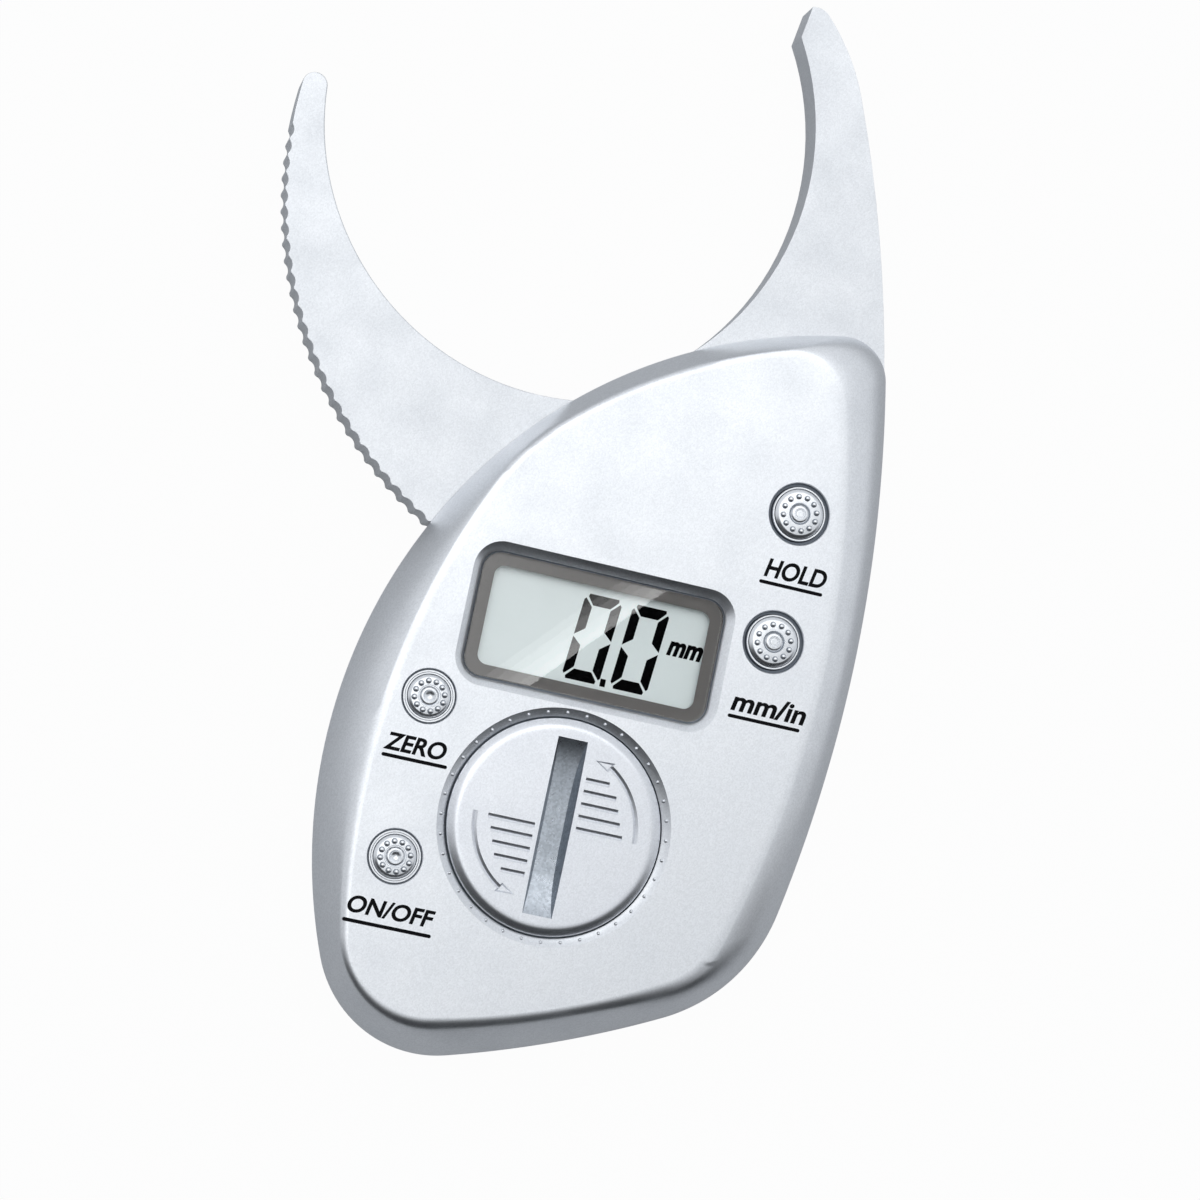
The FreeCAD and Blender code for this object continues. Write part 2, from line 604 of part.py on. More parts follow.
def tooth(sketch, teeth):
    """One tooth that points along X, with involute flanks and a foot sunk into the rim."""
    module, slant = number("gear_module"), math.radians(number("pressure_angle"))
    pitch = module * number(teeth) / 2
    base = pitch * math.cos(slant)
    tip = pitch + module * number("addendum_factor")
    root = pitch - module * number("dedendum_factor")
    half_tooth = math.pi / (2 * number(teeth)) - number("backlash") / (4 * pitch)

    def flank(radius):
        """The point of the upper flank at a radius."""
        half = half_tooth + involute(slant) - involute(math.acos(min(1.0, base / radius)))
        return Vector(radius * math.cos(half), radius * math.sin(half), 0)

    def mirrored(place):
        """The same point on the lower flank."""
        return Vector(place.x, -place.y, 0)

    start = max(base, root)
    foot, middle, crest = flank(start), flank((start + tip) / 2), flank(tip)
    sunk = foot * ((root - module / 2) / start)
    sketch.addGeometry([
        Part.LineSegment(sunk, foot),
        Part.Arc(foot, middle, crest),
        Part.Arc(crest, Vector(tip, 0, 0), mirrored(crest)),
        Part.Arc(mirrored(crest), mirrored(middle), mirrored(foot)),
        Part.LineSegment(mirrored(foot), mirrored(sunk)),
        Part.LineSegment(mirrored(sunk), sunk),
    ])


# Housing -------------------------------------------------------------------------------------------

def swing_slot(sketch):
    """The space that the movable jaw sweeps through the housing's side.

    One arc follows the jaw's outer edge at the open stop, and one its inner edge where it is shut.
    """
    turn = "(0 - swing_travel)"
    shut_x = f"(swing_inner_x * cos({turn}) - swing_inner_y * sin({turn}))"
    shut_y = f"(swing_inner_x * sin({turn}) + swing_inner_y * cos({turn}))"
    edges = [("swing_outer_x", "swing_outer_y", "(swing_outer_curve + jaw_clearance)"),
             (shut_x, shut_y, "(swing_inner_curve - jaw_clearance)")]
    arcs = []
    for x, y, radius in edges:
        centre = point(x, y)
        arc = add_arc(sketch, centre, number(radius), towards(180), centre * -1)
        pin_point(sketch, arc, 3, x, y)
        tie(sketch, "Radius", arc, to=radius)
        tie(sketch, "DistanceY", -1, 1, arc, 1, to=y)
        tie(sketch, "DistanceX", -1, 1, arc, 2, to=f"{x} * (1 - {radius} / sqrt({x} ^ 2 + {y} ^ 2))")
        arcs.append(arc)
    for end in (1, 2):
        span = Part.LineSegment(sketch.getPoint(arcs[0], end), sketch.getPoint(arcs[1], end))
        across = sketch.addGeometry(span)
        sketch.addConstraint(Sketcher.Constraint("Coincident", arcs[0], end, across, 1))
        sketch.addConstraint(Sketcher.Constraint("Coincident", arcs[1], end, across, 2))


def fixed_jaw(sketch):
    """The fixed jaw and its root inside the housing."""
    side = point("base_right - base_right_curve", "base_right_level")
    upper = point("fixed_outer_x", "fixed_outer_y")
    inner = point("fixed_inner_x", "fixed_inner_y")
    side_radius, inner_radius = number("base_right_curve"), number("fixed_inner_curve")
    upper_radius = side_radius - (upper - side).Length
    tip_radius = number("fixed_tip_radius")
    tip = meeting(inner, inner_radius + tip_radius, upper, upper_radius - tip_radius, Vector(1, 2, 0))
    root_level, foot_level = number("fixed_root_level"), number("fixed_foot_level")
    inner_end = Vector(math.sqrt(inner_radius ** 2 - (root_level - inner.y) ** 2), root_level - inner.y, 0)
    side_end = Vector(math.sqrt(side_radius ** 2 - (foot_level - side.y) ** 2), foot_level - side.y, 0)
    side_arc = add_arc(sketch, side, side_radius, side_end, upper - side)
    upper_arc = add_arc(sketch, upper, upper_radius, upper - side, tip - upper)
    tip_arc = add_arc(sketch, tip, tip_radius, tip - upper, inner - tip)
    inner_arc = add_arc(sketch, inner, inner_radius, inner_end, tip - inner)
    root = sketch.addGeometry(Part.LineSegment(inner + inner_end, side + side_end))
    for first, end, second, start in (
        (side_arc, 2, upper_arc, 1), (upper_arc, 2, tip_arc, 1), (tip_arc, 2, inner_arc, 2),
    ):
        sketch.addConstraint(Sketcher.Constraint("Tangent", first, end, second, start))
    sketch.addConstraint(Sketcher.Constraint("Coincident", inner_arc, 1, root, 1))
    sketch.addConstraint(Sketcher.Constraint("Coincident", root, 2, side_arc, 1))
    pin_point(sketch, side_arc, 3, "base_right - base_right_curve", "base_right_level")
    pin_point(sketch, upper_arc, 3, "fixed_outer_x", "fixed_outer_y")
    pin_point(sketch, inner_arc, 3, "fixed_inner_x", "fixed_inner_y")
    tie(sketch, "Radius", side_arc, to="base_right_curve")
    tie(sketch, "Radius", inner_arc, to="fixed_inner_curve")
    tie(sketch, "Radius", tip_arc, to="fixed_tip_radius")
    tie(sketch, "DistanceY", -1, 1, root, 1, to="fixed_root_level")
    tie(sketch, "DistanceY", -1, 1, root, 2, to="fixed_foot_level")


def contact_flat(facing, away):
    """A drawing of the sliver that is cut off a tip, beyond the radius in the facing direction."""
    near, far = "(fixed_inner_curve + fixed_inner_y) * 0.7", "(fixed_inner_curve + fixed_inner_y)"

    def draw(sketch):
        corners = [(near, "0"), (far, "0"), (far, away), (near, away)]
        polygon(sketch, [
            (f"{distance} * cos({facing} + ({turn}))", f"{distance} * sin({facing} + ({turn}))")
            for distance, turn in corners
        ])

    return draw


def rear_shell():
    """A shallow pan with the fixed jaw, the pivot post and the screw bosses."""
    body = new_body("rear_shell")
    edge_inset = f"(back_inset * (1 - back_edge / {PARTING}))"
    loft(body, "Additive", "0", lambda s: leaf(s, "base", f"{edge_inset} + back_edge"),
         "back_edge", lambda s: leaf(s, "base", edge_inset))
    loft(body, "Additive", "back_edge", lambda s: leaf(s, "base", edge_inset),
         PARTING, lambda s: leaf(s, "base"))
    draw_in = f"(back_inset * (1 - floor_thickness / {PARTING}) + side_wall)"
    loft(body, "Subtractive", "floor_thickness", lambda s: leaf(s, "base", draw_in),
         PARTING, lambda s: leaf(s, "base", "side_wall"))
    pad(body, "jaw_seat", JAW_TOP, fixed_jaw)
    cut(body, "jaw_seat", JAW_TOP, contact_flat("fixed_contact_heading", "6"))
    cut(body, "jaw_seat - jaw_clearance", PARTING, swing_slot)
    pad(body, "floor_thickness", SEAT_TOP, lambda s: circle(s, "seat_radius"))
    pad(body, SEAT_TOP, POST_TOP, lambda s: circle(s, "post_radius"))
    screw_end = f"({POST_TOP} + pivot_washer_thickness - pivot_screw_length)"
    cut(body, f"{screw_end} - point_gap", POST_TOP, lambda s: circle(s, "pivot_screw_radius + screw_play"))
    pad(body, "floor_thickness", AXLE_BOSS_TOP, lambda s: circle(s, "axle_boss_radius"), y=PINION_Y)
    cut(body, "axle_embedding", AXLE_BOSS_TOP, lambda s: circle(s, "axle_radius"), y=PINION_Y)
    for x, y in CASE_SCREWS:
        pad(body, "floor_thickness", PARTING, lambda s: circle(s, "case_boss_radius"), x=x, y=y)
    for x, y in CASE_SCREWS:
        cut(body, "0", "case_head_depth", lambda s: circle(s, "case_head_radius + head_gap"), x=x, y=y)
        cut(body, "case_head_depth", PARTING, lambda s: circle(s, "case_screw_radius + screw_gap"), x=x, y=y)


def around_lens(sketch, margin):
    """The lens's outline, drawn out by a margin."""
    rounded_rectangle(sketch, "display_x", "display_y", f"{LENS_LENGTH} + 2 * ({margin})",
                      f"{LENS_WIDTH} + 2 * ({margin})", f"lens_corner + ({margin})")


def front_shell():
    """The raised face with its sloping flanks, and everything moulded inside it."""
    body = new_body("front_shell")
    rim = f"({FACE_TOP} - face_edge)"
    loft(body, "Additive", PARTING, lambda s: leaf(s, "base"), rim, lambda s: leaf(s, "face"))
    loft(body, "Additive", rim, lambda s: leaf(s, "face"),
         FACE_TOP, lambda s: leaf(s, "face", "face_edge"))
    loft(body, "Subtractive", PARTING, lambda s: leaf(s, "base", "side_wall"),
         CEILING, lambda s: leaf(s, "face", "flank_wall"))
    inside = f"({CEILING} + front_wall / 2)"
    # Display: a ledge inside, the lens's recess and the opening under it
    pad(body, LEDGE_LOW, inside, lambda s: around_lens(s, "ledge_width"))
    cut(body, LEDGE_TOP, ABOVE, lambda s: around_lens(s, "lens_gap"))
    loft(body, "Subtractive", f"{FACE_TOP} - lens_rim_depth", lambda s: around_lens(s, "lens_gap"),
         FACE_TOP, lambda s: around_lens(s, "lens_gap + lens_rim"))
    cut(body, GLASS_TOP, LEDGE_TOP, lambda s: rounded_rectangle(
        s, "display_x", "display_y", f"{WINDOW_LENGTH} + 2 * window_margin",
        f"{WINDOW_WIDTH} + 2 * window_margin", "window_corner + window_margin"))
    # Buttons: a collar inside, a bevelled ring outside and the hole
    for name, cap in BUTTONS.items():
        hole = f"{cap}_cap_radius + cap_gap"
        turned(body, "Groove", f"{name}_x", f"{name}_y", [
            ("0", f"{CEILING} - front_wall"), (hole, f"{CEILING} - front_wall"),
            (hole, f"{FACE_TOP} - well_depth"),
            (f"{hole} + well_width", FACE_TOP), (f"{hole} + well_width", ABOVE), ("0", ABOVE)])
    # Battery: a tub with a bayonet groove, a seat for the cover and a sloping ring round it
    tub = "(tab_reach + tab_gap)"
    pad(body, TUB_LOW, inside, lambda s: circle(s, f"{tub} + tub_wall", "battery_x", "battery_y"))
    seat = "(cover_radius + cover_gap)"
    mouth = "(plug_radius + cover_gap)"
    turned(body, "Groove", "battery_x", "battery_y", [
        ("0", TUB_FLOOR), (tub, TUB_FLOOR), (tub, f"{TAB_TOP} + tab_play"),
        (mouth, f"{TAB_TOP} + tab_play"), (mouth, SEAT_LEVEL), (seat, SEAT_LEVEL),
        (seat, f"{FACE_TOP} - well_ring_depth"), (f"{seat} + well_ring_width", FACE_TOP),
        (f"{seat} + well_ring_width", ABOVE), ("0", ABOVE)])
    cut(body, TUB_LOW, TUB_FLOOR,
        lambda s: circle(s, "cell_radius + cell_gap", "battery_x", "battery_y"))
    cut(body, TAB_LOW, COVER_LOW, lambda s: rectangle(
        s, "0", "0", "2 * (tab_reach + tab_gap)", "2 * (tab_half_width + tab_gap)"),
        x="battery_x", y="battery_y", turn="bayonet_turn")
    # Bosses
    for x, y in CASE_SCREWS:
        pad(body, PARTING, inside, lambda s: circle(s, "case_boss_radius"), x=x, y=y)
    for x, y in BOARD_SCREWS:
        pad(body, BOARD_TOP, inside, lambda s: circle(s, "board_boss_radius"), x=x, y=y)
    for x, y in CASE_SCREWS:
        cut(body, PARTING, "case_screw_top + point_gap",
            lambda s: circle(s, "case_screw_radius + screw_play"), x=x, y=y)
    for x, y in BOARD_SCREWS:
        cut(body, BOARD_TOP, "board_low + board_screw_length + point_gap",
            lambda s: circle(s, "board_screw_radius + screw_play"), x=x, y=y)


# Movable jaw and hinge -------------------------------------------------------------------------------

def swing_outline(sketch):
    """The crescent arm, which ends in a hub round the pivot."""
    outer = point("swing_outer_x", "swing_outer_y")
    inner = point("swing_inner_x", "swing_inner_y")
    hub = Vector(0, 0, 0)
    outer_radius, inner_radius = number("swing_outer_curve"), number("swing_inner_curve")
    tip_radius, hub_radius = number("swing_tip_radius"), number(HUB_RADIUS)
    tip = meeting(inner, inner_radius + tip_radius, outer, outer_radius - tip_radius, Vector(-1, 0, 0))
    root = towards(number("swing_root_heading"))
    along = root.dot(outer)
    root_end = root * (along + math.sqrt(along ** 2 + outer_radius ** 2 - outer.dot(outer)))
    outer_arc = add_arc(sketch, outer, outer_radius, tip - outer, root_end - outer)
    tip_arc = add_arc(sketch, tip, tip_radius, inner - tip, tip - outer)
    inner_arc = add_arc(sketch, inner, inner_radius, tip - inner, hub - inner)
    hub_arc = add_arc(sketch, hub, hub_radius, root, inner)
    root_line = sketch.addGeometry(Part.LineSegment(root * hub_radius, root_end))
    sketch.addConstraint([
        Sketcher.Constraint("Tangent", outer_arc, 1, tip_arc, 2),
        Sketcher.Constraint("Tangent", tip_arc, 1, inner_arc, 1),
        Sketcher.Constraint("Tangent", inner_arc, 2, hub_arc, 2),
        Sketcher.Constraint("Coincident", hub_arc, 1, root_line, 1),
        Sketcher.Constraint("Coincident", root_line, 2, outer_arc, 2),
        Sketcher.Constraint("Coincident", hub_arc, 3, -1, 1),
        Sketcher.Constraint("PointOnObject", -1, 1, root_line),
    ])
    pin_point(sketch, outer_arc, 3, "swing_outer_x", "swing_outer_y")
    pin_point(sketch, inner_arc, 3, "swing_inner_x", "swing_inner_y")
    tie(sketch, "Radius", outer_arc, to="swing_outer_curve")
    tie(sketch, "Radius", inner_arc, to="swing_inner_curve")
    tie(sketch, "Radius", tip_arc, to="swing_tip_radius")
    tie(sketch, "DistanceX", -1, 1, root_line, 1, to=f"{HUB_RADIUS} * cos(swing_root_heading)")


def sector_web(sketch):
    """The plate under the sector's teeth: a wedge of a disc up to the root circle."""
    step = "(360 / sector_teeth)"
    first, last = f"(-90 - 2.2 * {step})", f"(-90 + (sector_used_teeth - 1.8) * {step})"
    root = f"({SECTOR_PITCH} - gear_module * dedendum_factor)"
    start, finish = towards(number(first)), towards(number(last))
    rim = add_arc(sketch, Vector(0, 0, 0), number(root), start, finish)
    lines = [
        sketch.addGeometry(Part.LineSegment(Vector(0, 0, 0), start * number(root))),
        sketch.addGeometry(Part.LineSegment(Vector(0, 0, 0), finish * number(root))),
    ]
    sketch.addConstraint([
        Sketcher.Constraint("Coincident", rim, 3, -1, 1),
        Sketcher.Constraint("Coincident", lines[0], 1, -1, 1),
        Sketcher.Constraint("Coincident", lines[1], 1, -1, 1),
        Sketcher.Constraint("Coincident", lines[0], 2, rim, 1),
        Sketcher.Constraint("Coincident", lines[1], 2, rim, 2),
    ])
    tie(sketch, "Radius", rim, to=root)
    tie(sketch, "DistanceX", -1, 1, rim, 1, to=f"{root} * cos({first})")
    tie(sketch, "DistanceX", -1, 1, rim, 2, to=f"{root} * cos({last})")


def movable_jaw():
    """The arm with its serrated edge, its hub and its toothed sector."""
    body = new_body("movable_jaw")
    pad(body, "jaw_seat", JAW_TOP, swing_outline)
    cut(body, "jaw_seat", JAW_TOP, contact_flat("swing_contact_heading", "0 - 6"))
    sector_top = "jaw_seat + sector_thickness"
    pad(body, "jaw_seat", sector_top, sector_web)
    step = "(360 / sector_teeth)"
    first = pad(body, "jaw_seat", sector_top, lambda s: tooth(s, "sector_teeth"), turn=f"-90 - 1.5 * {step}")
    around(body, first, "sector_used_teeth", f"(sector_used_teeth - 1) * {step}")
    chord = "(serration_pitch - serration_land)"
    scallop = f"(({chord} ^ 2 / 4 + serration_depth ^ 2) / (2 * serration_depth))"
    notch = cut(body, "jaw_seat", JAW_TOP, lambda s: circle(
        s, scallop, x=f"swing_outer_curve - serration_depth + {scallop}"),
        x="swing_outer_x", y="swing_outer_y", turn="serration_heading")
    around(body, notch, "serration_count",
           "(serration_count - 1) * serration_pitch / swing_outer_curve * 180 / pi")
    cut(body, "jaw_seat", JAW_TOP, lambda s: circle(s, "post_radius + running_gap"))


def screw(body, x, y, shank, head, seat, head_end, point_end):
    """A screw whose head lies between its seat and its end, with a plain shank."""
    turned(body, "Revolution", x, y, [
        ("0", head_end), (head, head_end), (head, seat), (shank, seat), (shank, point_end), ("0", point_end)])


def hinge():
    """Washers and the screw that keep the jaw on its post."""
    bore = "post_radius + running_gap"
    ring("thrust_washer", "0", "0", SEAT_TOP, "jaw_seat", "washer_radius", bore)
    ring("wave_washer", "0", "0", JAW_TOP, POST_TOP, "washer_radius", bore)
    top = f"({POST_TOP} + pivot_washer_thickness)"
    ring("pivot_washer", "0", "0", POST_TOP, top, "washer_radius", "pivot_screw_radius + pivot_washer_play")
    body = new_body("pivot_screw")
    screw(body, "0", "0", "pivot_screw_radius", "pivot_head_radius", top, f"{top} + pivot_head_height",
          f"{top} - pivot_screw_length")


def encoder():
    """The pinion, its slotted wheel, the fixed axle and the forked sensor."""
    axle = new_body("encoder_axle")
    pad(axle, "axle_embedding", "board_low - axle_top_gap", lambda s: circle(s, "axle_radius"), y=PINION_Y)
    gear = new_body("encoder_gear")
    bore = "axle_radius + running_gap"
    root = f"({PINION_PITCH} - gear_module * dedendum_factor)"
    flange = "collar_radius + wheel_flange_width"
    collar_top = f"({WHEEL_TOP} + collar_rise)"
    turned(gear, "Revolution", "0", PINION_Y, [
        (bore, PINION_LOW), (root, PINION_LOW), (root, PINION_TOP), (flange, PINION_TOP), (flange, WHEEL_LOW),
        ("collar_radius", WHEEL_LOW), ("collar_radius", collar_top), (bore, collar_top)])
    first = pad(gear, PINION_LOW, PINION_TOP, lambda s: tooth(s, "pinion_teeth"), y=PINION_Y, turn="90")
    around(gear, first, "pinion_teeth")
    wheel = new_body("encoder_wheel")
    pad(wheel, WHEEL_LOW, WHEEL_TOP, lambda s: circle(s, "wheel_radius"), y=PINION_Y)
    cut(wheel, WHEEL_LOW, WHEEL_TOP, lambda s: circle(s, "collar_radius + wheel_fit"), y=PINION_Y)
    window = cut(wheel, WHEEL_LOW, WHEEL_TOP, lambda s: rectangle(
        s, "(wheel_radius - wheel_slot_inset)", "0", "wheel_slot_length", "wheel_slot_width"), y=PINION_Y)
    around(wheel, window, "wheel_slots")
    sensor = new_body("encoder_sensor")
    mouth_low = f"({WHEEL_LOW} - sensor_gap)"
    edge = f"({PINION_Y} - wheel_radius + sensor_reach)"
    pad(sensor, f"{mouth_low} - sensor_arm", "board_low", lambda s: rectangle(
        s, "0", f"{edge} - sensor_length / 2", "sensor_width", "sensor_length"))
    cut(sensor, mouth_low, f"{WHEEL_TOP} + sensor_gap", lambda s: rectangle(
        s, "0", edge, "2 * sensor_width", "2 * sensor_mouth"))


# Board and display ---------------------------------------------------------------------------------

def board():
    """The circuit board with what is soldered to it."""
    body = new_body("main_board")
    pad(body, "board_low", BOARD_TOP, lambda s: leaf(s, "base", "board_inset"))
    far = "(2 * base_right)"
    cut(body, "board_low", BOARD_TOP, lambda s: polygon(s, [
        (f"0 - {far}", "board_step"), ("board_shoulder", "board_step"), ("board_shoulder", "board_top"),
        (far, "board_top"), (far, far), (f"0 - {far}", far)]))
    for x, y in CASE_SCREWS:
        cut(body, "board_low", BOARD_TOP, lambda s: circle(s, "case_boss_radius + board_boss_gap"), x=x, y=y)
    for x, y in BOARD_SCREWS:
        cut(body, "board_low", BOARD_TOP,
            lambda s: circle(s, "board_screw_radius + board_hole_gap"), x=x, y=y)
    chip = new_body("controller_chip")
    turned(chip, "Revolution", "chip_x", "chip_y", [
        ("0", BOARD_TOP), ("chip_radius", BOARD_TOP),
        ("chip_shoulder_radius", f"{BOARD_TOP} + chip_shoulder_height"), ("0", f"{BOARD_TOP} + chip_height")])
    crystal = new_body("crystal")
    pad(crystal, BOARD_TOP, f"{BOARD_TOP} + crystal_height", lambda s: rounded_rectangle(
        s, "crystal_x", "crystal_y", "crystal_length", "crystal_width", "crystal_corner"))


def display():
    """Lens, printed frame, glass, its frame and the rubber connector strips."""
    centre = ("display_x", "display_y")
    lens = new_body("display_lens")
    pad(lens, LENS_LOW, LENS_TOP, lambda s: around_lens(s, "0"))
    mask = new_body("display_mask")
    pad(mask, LEDGE_TOP, LENS_LOW, lambda s: around_lens(s, "0"))
    cut(mask, LEDGE_TOP, LENS_LOW, lambda s: rounded_rectangle(
        s, *centre, WINDOW_LENGTH, WINDOW_WIDTH, "window_corner"))
    glass = new_body("lcd_glass")
    pad(glass, GLASS_LOW, GLASS_TOP, lambda s: rectangle(s, *centre, "glass_length", "glass_width"))
    frame = new_body("lcd_frame")
    pad(frame, BOARD_TOP, f"{GLASS_TOP} + frame_lip", lambda s: rounded_rectangle(
        s, *centre, "glass_length + 2 * frame_wall", "glass_width + 2 * frame_wall", "frame_wall"))
    cut(frame, GLASS_LOW, f"{GLASS_TOP} + frame_lip", lambda s: rectangle(
        s, *centre, "glass_length + 2 * glass_play", "glass_width + 2 * glass_play"))
    cut(frame, BOARD_TOP, GLASS_LOW, lambda s: rectangle(
        s, *centre, "glass_length - 2 * frame_ledge", "glass_width - 2 * frame_ledge"))
    for name, side in (("upper", "+"), ("lower", "-")):
        strip = new_body(f"zebra_strip_{name}")
        pad(strip, BOARD_TOP, GLASS_LOW, lambda s: rectangle(
            s, "display_x", f"display_y {side} (glass_width / 2 - frame_ledge - strip_gap - strip_width / 2)",
            "glass_length - 2 * (frame_ledge + strip_gap)", "strip_width"))


# Buttons -------------------------------------------------------------------------------------------

def button(name, cap):
    """A cap with a flange and a plunger, and the snap dome under it."""
    radius = f"({cap}_cap_radius)"
    place = (f"{name}_x", f"{name}_y")
    top = f"({FACE_TOP} + cap_rise)"
    flange_top = f"({CEILING} - flange_gap)"
    flange_low = f"({flange_top} - flange_thickness)"
    dome_top = f"({BOARD_TOP} + dome_height)"
    body = new_body(f"{name}_button")
    turned(body, "Revolution", *place, [
        ("0", dome_top), ("plunger_radius", dome_top), ("plunger_radius", flange_low),
        (f"{radius} + flange_width", flange_low), (f"{radius} + flange_width", flange_top),
        (radius, flange_top), (radius, f"{top} - cap_edge"), (f"{radius} - cap_edge", top), ("0", top)])
    dome = new_body(f"{name}_dome")
    turned(dome, "Revolution", *place, [
        ("0", f"{dome_top} - dome_sheet"), ("dome_radius - dome_foot", BOARD_TOP),
        ("dome_radius", BOARD_TOP), ("0", dome_top)])


# Battery -------------------------------------------------------------------------------------------

def battery_cover():
    """A disc with a scooped coin slot over a ring with two bayonet tabs."""
    body = new_body("battery_cover")
    inner = "plug_radius - plug_wall"
    roof = f"({CELL_TOP} + cell_top_gap)"
    turned(body, "Revolution", "battery_x", "battery_y", [
        ("0", roof), (inner, roof), (inner, PLUG_LOW), ("plug_radius", PLUG_LOW),
        ("plug_radius", COVER_LOW), ("cover_radius", COVER_LOW),
        ("cover_radius", f"{COVER_TOP} - cover_rim_height"),
        ("cover_radius - cover_rim_width", COVER_TOP), ("0", COVER_TOP)])
    tab = pad(body, TAB_LOW, TAB_TOP, lambda s: rectangle(
        s, f"(tab_reach + {inner}) / 2", "0", f"tab_reach - ({inner})", "2 * tab_half_width"),
        x="battery_x", y="battery_y")
    around(body, tab, "2")
    slot = body.newObject("Sketcher::SketchObject", "SlotSketch")
    slot.AttachmentSupport = (plane(body, "YZ_Plane"), [""])
    slot.MapMode = "FlatFace"
    slot.setExpression("AttachmentOffset.Base.z", bound("battery_x + coin_slot_width / 2"))
    coin_slot(slot)
    pocket = body.newObject("PartDesign::Pocket", "CoinSlot")
    pocket.Profile = slot
    pocket.setExpression("Length", bound("coin_slot_width"))


def coin_slot(sketch):
    """The slot seen from its side: straight ends and a floor that a coin's edge would fit."""
    near, far = "battery_y - coin_slot_length / 2", "battery_y + coin_slot_length / 2"
    end_level, above = f"{COVER_TOP} - coin_slot_depth", f"{COVER_TOP} + 1"
    start, finish = point(near, end_level), point(far, end_level)
    deepest = point("battery_y", f"{COVER_TOP} - coin_slot_middle_depth")
    floor = sketch.addGeometry(Part.Arc(start, deepest, finish))
    rising = sketch.addGeometry(Part.LineSegment(finish, point(far, above)))
    lid = sketch.addGeometry(Part.LineSegment(point(far, above), point(near, above)))
    falling = sketch.addGeometry(Part.LineSegment(point(near, above), start))
    sketch.addConstraint([
        Sketcher.Constraint("Coincident", floor, 2, rising, 1),
        Sketcher.Constraint("Coincident", rising, 2, lid, 1),
        Sketcher.Constraint("Coincident", lid, 2, falling, 1),
        Sketcher.Constraint("Coincident", falling, 2, floor, 1),
    ])
    pin_point(sketch, floor, 1, near, end_level)
    pin_point(sketch, floor, 2, far, end_level)
    pin_point(sketch, lid, 1, far, above)
    pin_point(sketch, lid, 2, near, above)


def battery():
    """The coin cell and its two contacts."""
    cell = new_body("coin_cell")
    turned(cell, "Revolution", "battery_x", "battery_y", [
        ("0", CELL_LOW), ("cell_radius - cell_bevel", CELL_LOW), ("cell_radius", f"{CELL_LOW} + cell_bevel_height"),
        ("cell_radius", CELL_TOP), ("0", CELL_TOP)])
    negative = new_body("cell_contact_negative")
    crown = f"({CELL_LOW} - contact_gap)"
    turned(negative, "Revolution", "battery_x", "battery_y", [
        ("negative_inner", f"{crown} - contact_sheet"), ("negative_inner", crown),
        ("negative_foot", f"{BOARD_TOP} + contact_sheet"), ("negative_foot", BOARD_TOP)])
    positive = new_body("cell_contact_positive")
    face = "battery_x + cell_radius + contact_gap"
    foot_top = f"({BOARD_TOP} + contact_sheet)"
    pad(positive, BOARD_TOP, foot_top, lambda s: rectangle(
        s, f"{face} + positive_foot / 2", "battery_y", "positive_foot", "positive_width"))
    pad(positive, foot_top, f"{TUB_LOW} - contact_gap", lambda s: rectangle(
        s, f"{face} + contact_sheet / 2", "battery_y", "contact_sheet", "positive_width"))


def fasteners():
    """Case screws from the back, and screws that hold the board to the front shell."""
    case = new_body("case_screws")
    head_end = "(case_head_depth - case_head_height)"
    for x, y in CASE_SCREWS:
        screw(case, x, y, "case_screw_radius", "case_head_radius",
              "case_head_depth", head_end, "case_screw_top")
    boards = new_body("board_screws")
    for x, y in BOARD_SCREWS:
        screw(boards, x, y, "board_screw_radius", "board_head_radius",
              "board_low", "board_low - board_head_height", "board_low + board_screw_length")


def save():
    """Check every object, and write one file for each sub-part."""
    doc.recompute()
    failed = [item.Label for item in doc.Objects if {"Invalid", "Error"} & set(item.State)]
    if failed:
        raise RuntimeError(f"objects that failed: {failed}")
    os.makedirs("parts", exist_ok=True)
    for body in pieces:
        shape = body.Shape
        if shape.isNull() or not shape.isValid():
            raise RuntimeError(f"{body.Label} has no valid shape")
        shape.exportStep(os.path.join("parts", f"{body.Label}.step"))
        print(f"{body.Label}: {len(shape.Solids)} solid, {shape.Volume:.1f} mm3")


rear_shell()
front_shell()
movable_jaw()
hinge()
encoder()
board()
display()
for button_name, cap_size in BUTTONS.items():
    button(button_name, cap_size)
battery_cover()
battery()
fasteners()
save()
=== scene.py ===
"""A digital skinfold caliper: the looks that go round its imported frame.

The housing's front, the key caps, the battery cover, the lens and the display's figures are built here
as fine meshes. The rear shell and the movable jaw are softened copies of the frame's solids, and
everything inside the housing keeps its solid and gets its finish. Sizes are in millimetres in the
frame's axes: the caliper lies on its back, Z is up through its face and the jaw's pivot is at the origin.
"""

import json
import logging
import math
from dataclasses import dataclass, field
from enum import Enum
from typing import Callable, Iterable, Sequence

import bmesh
import bpy
from bpy.types import Material, Mesh, Node, NodeSocket, NodeTree, Object
from mathutils import Euler, Matrix, Vector

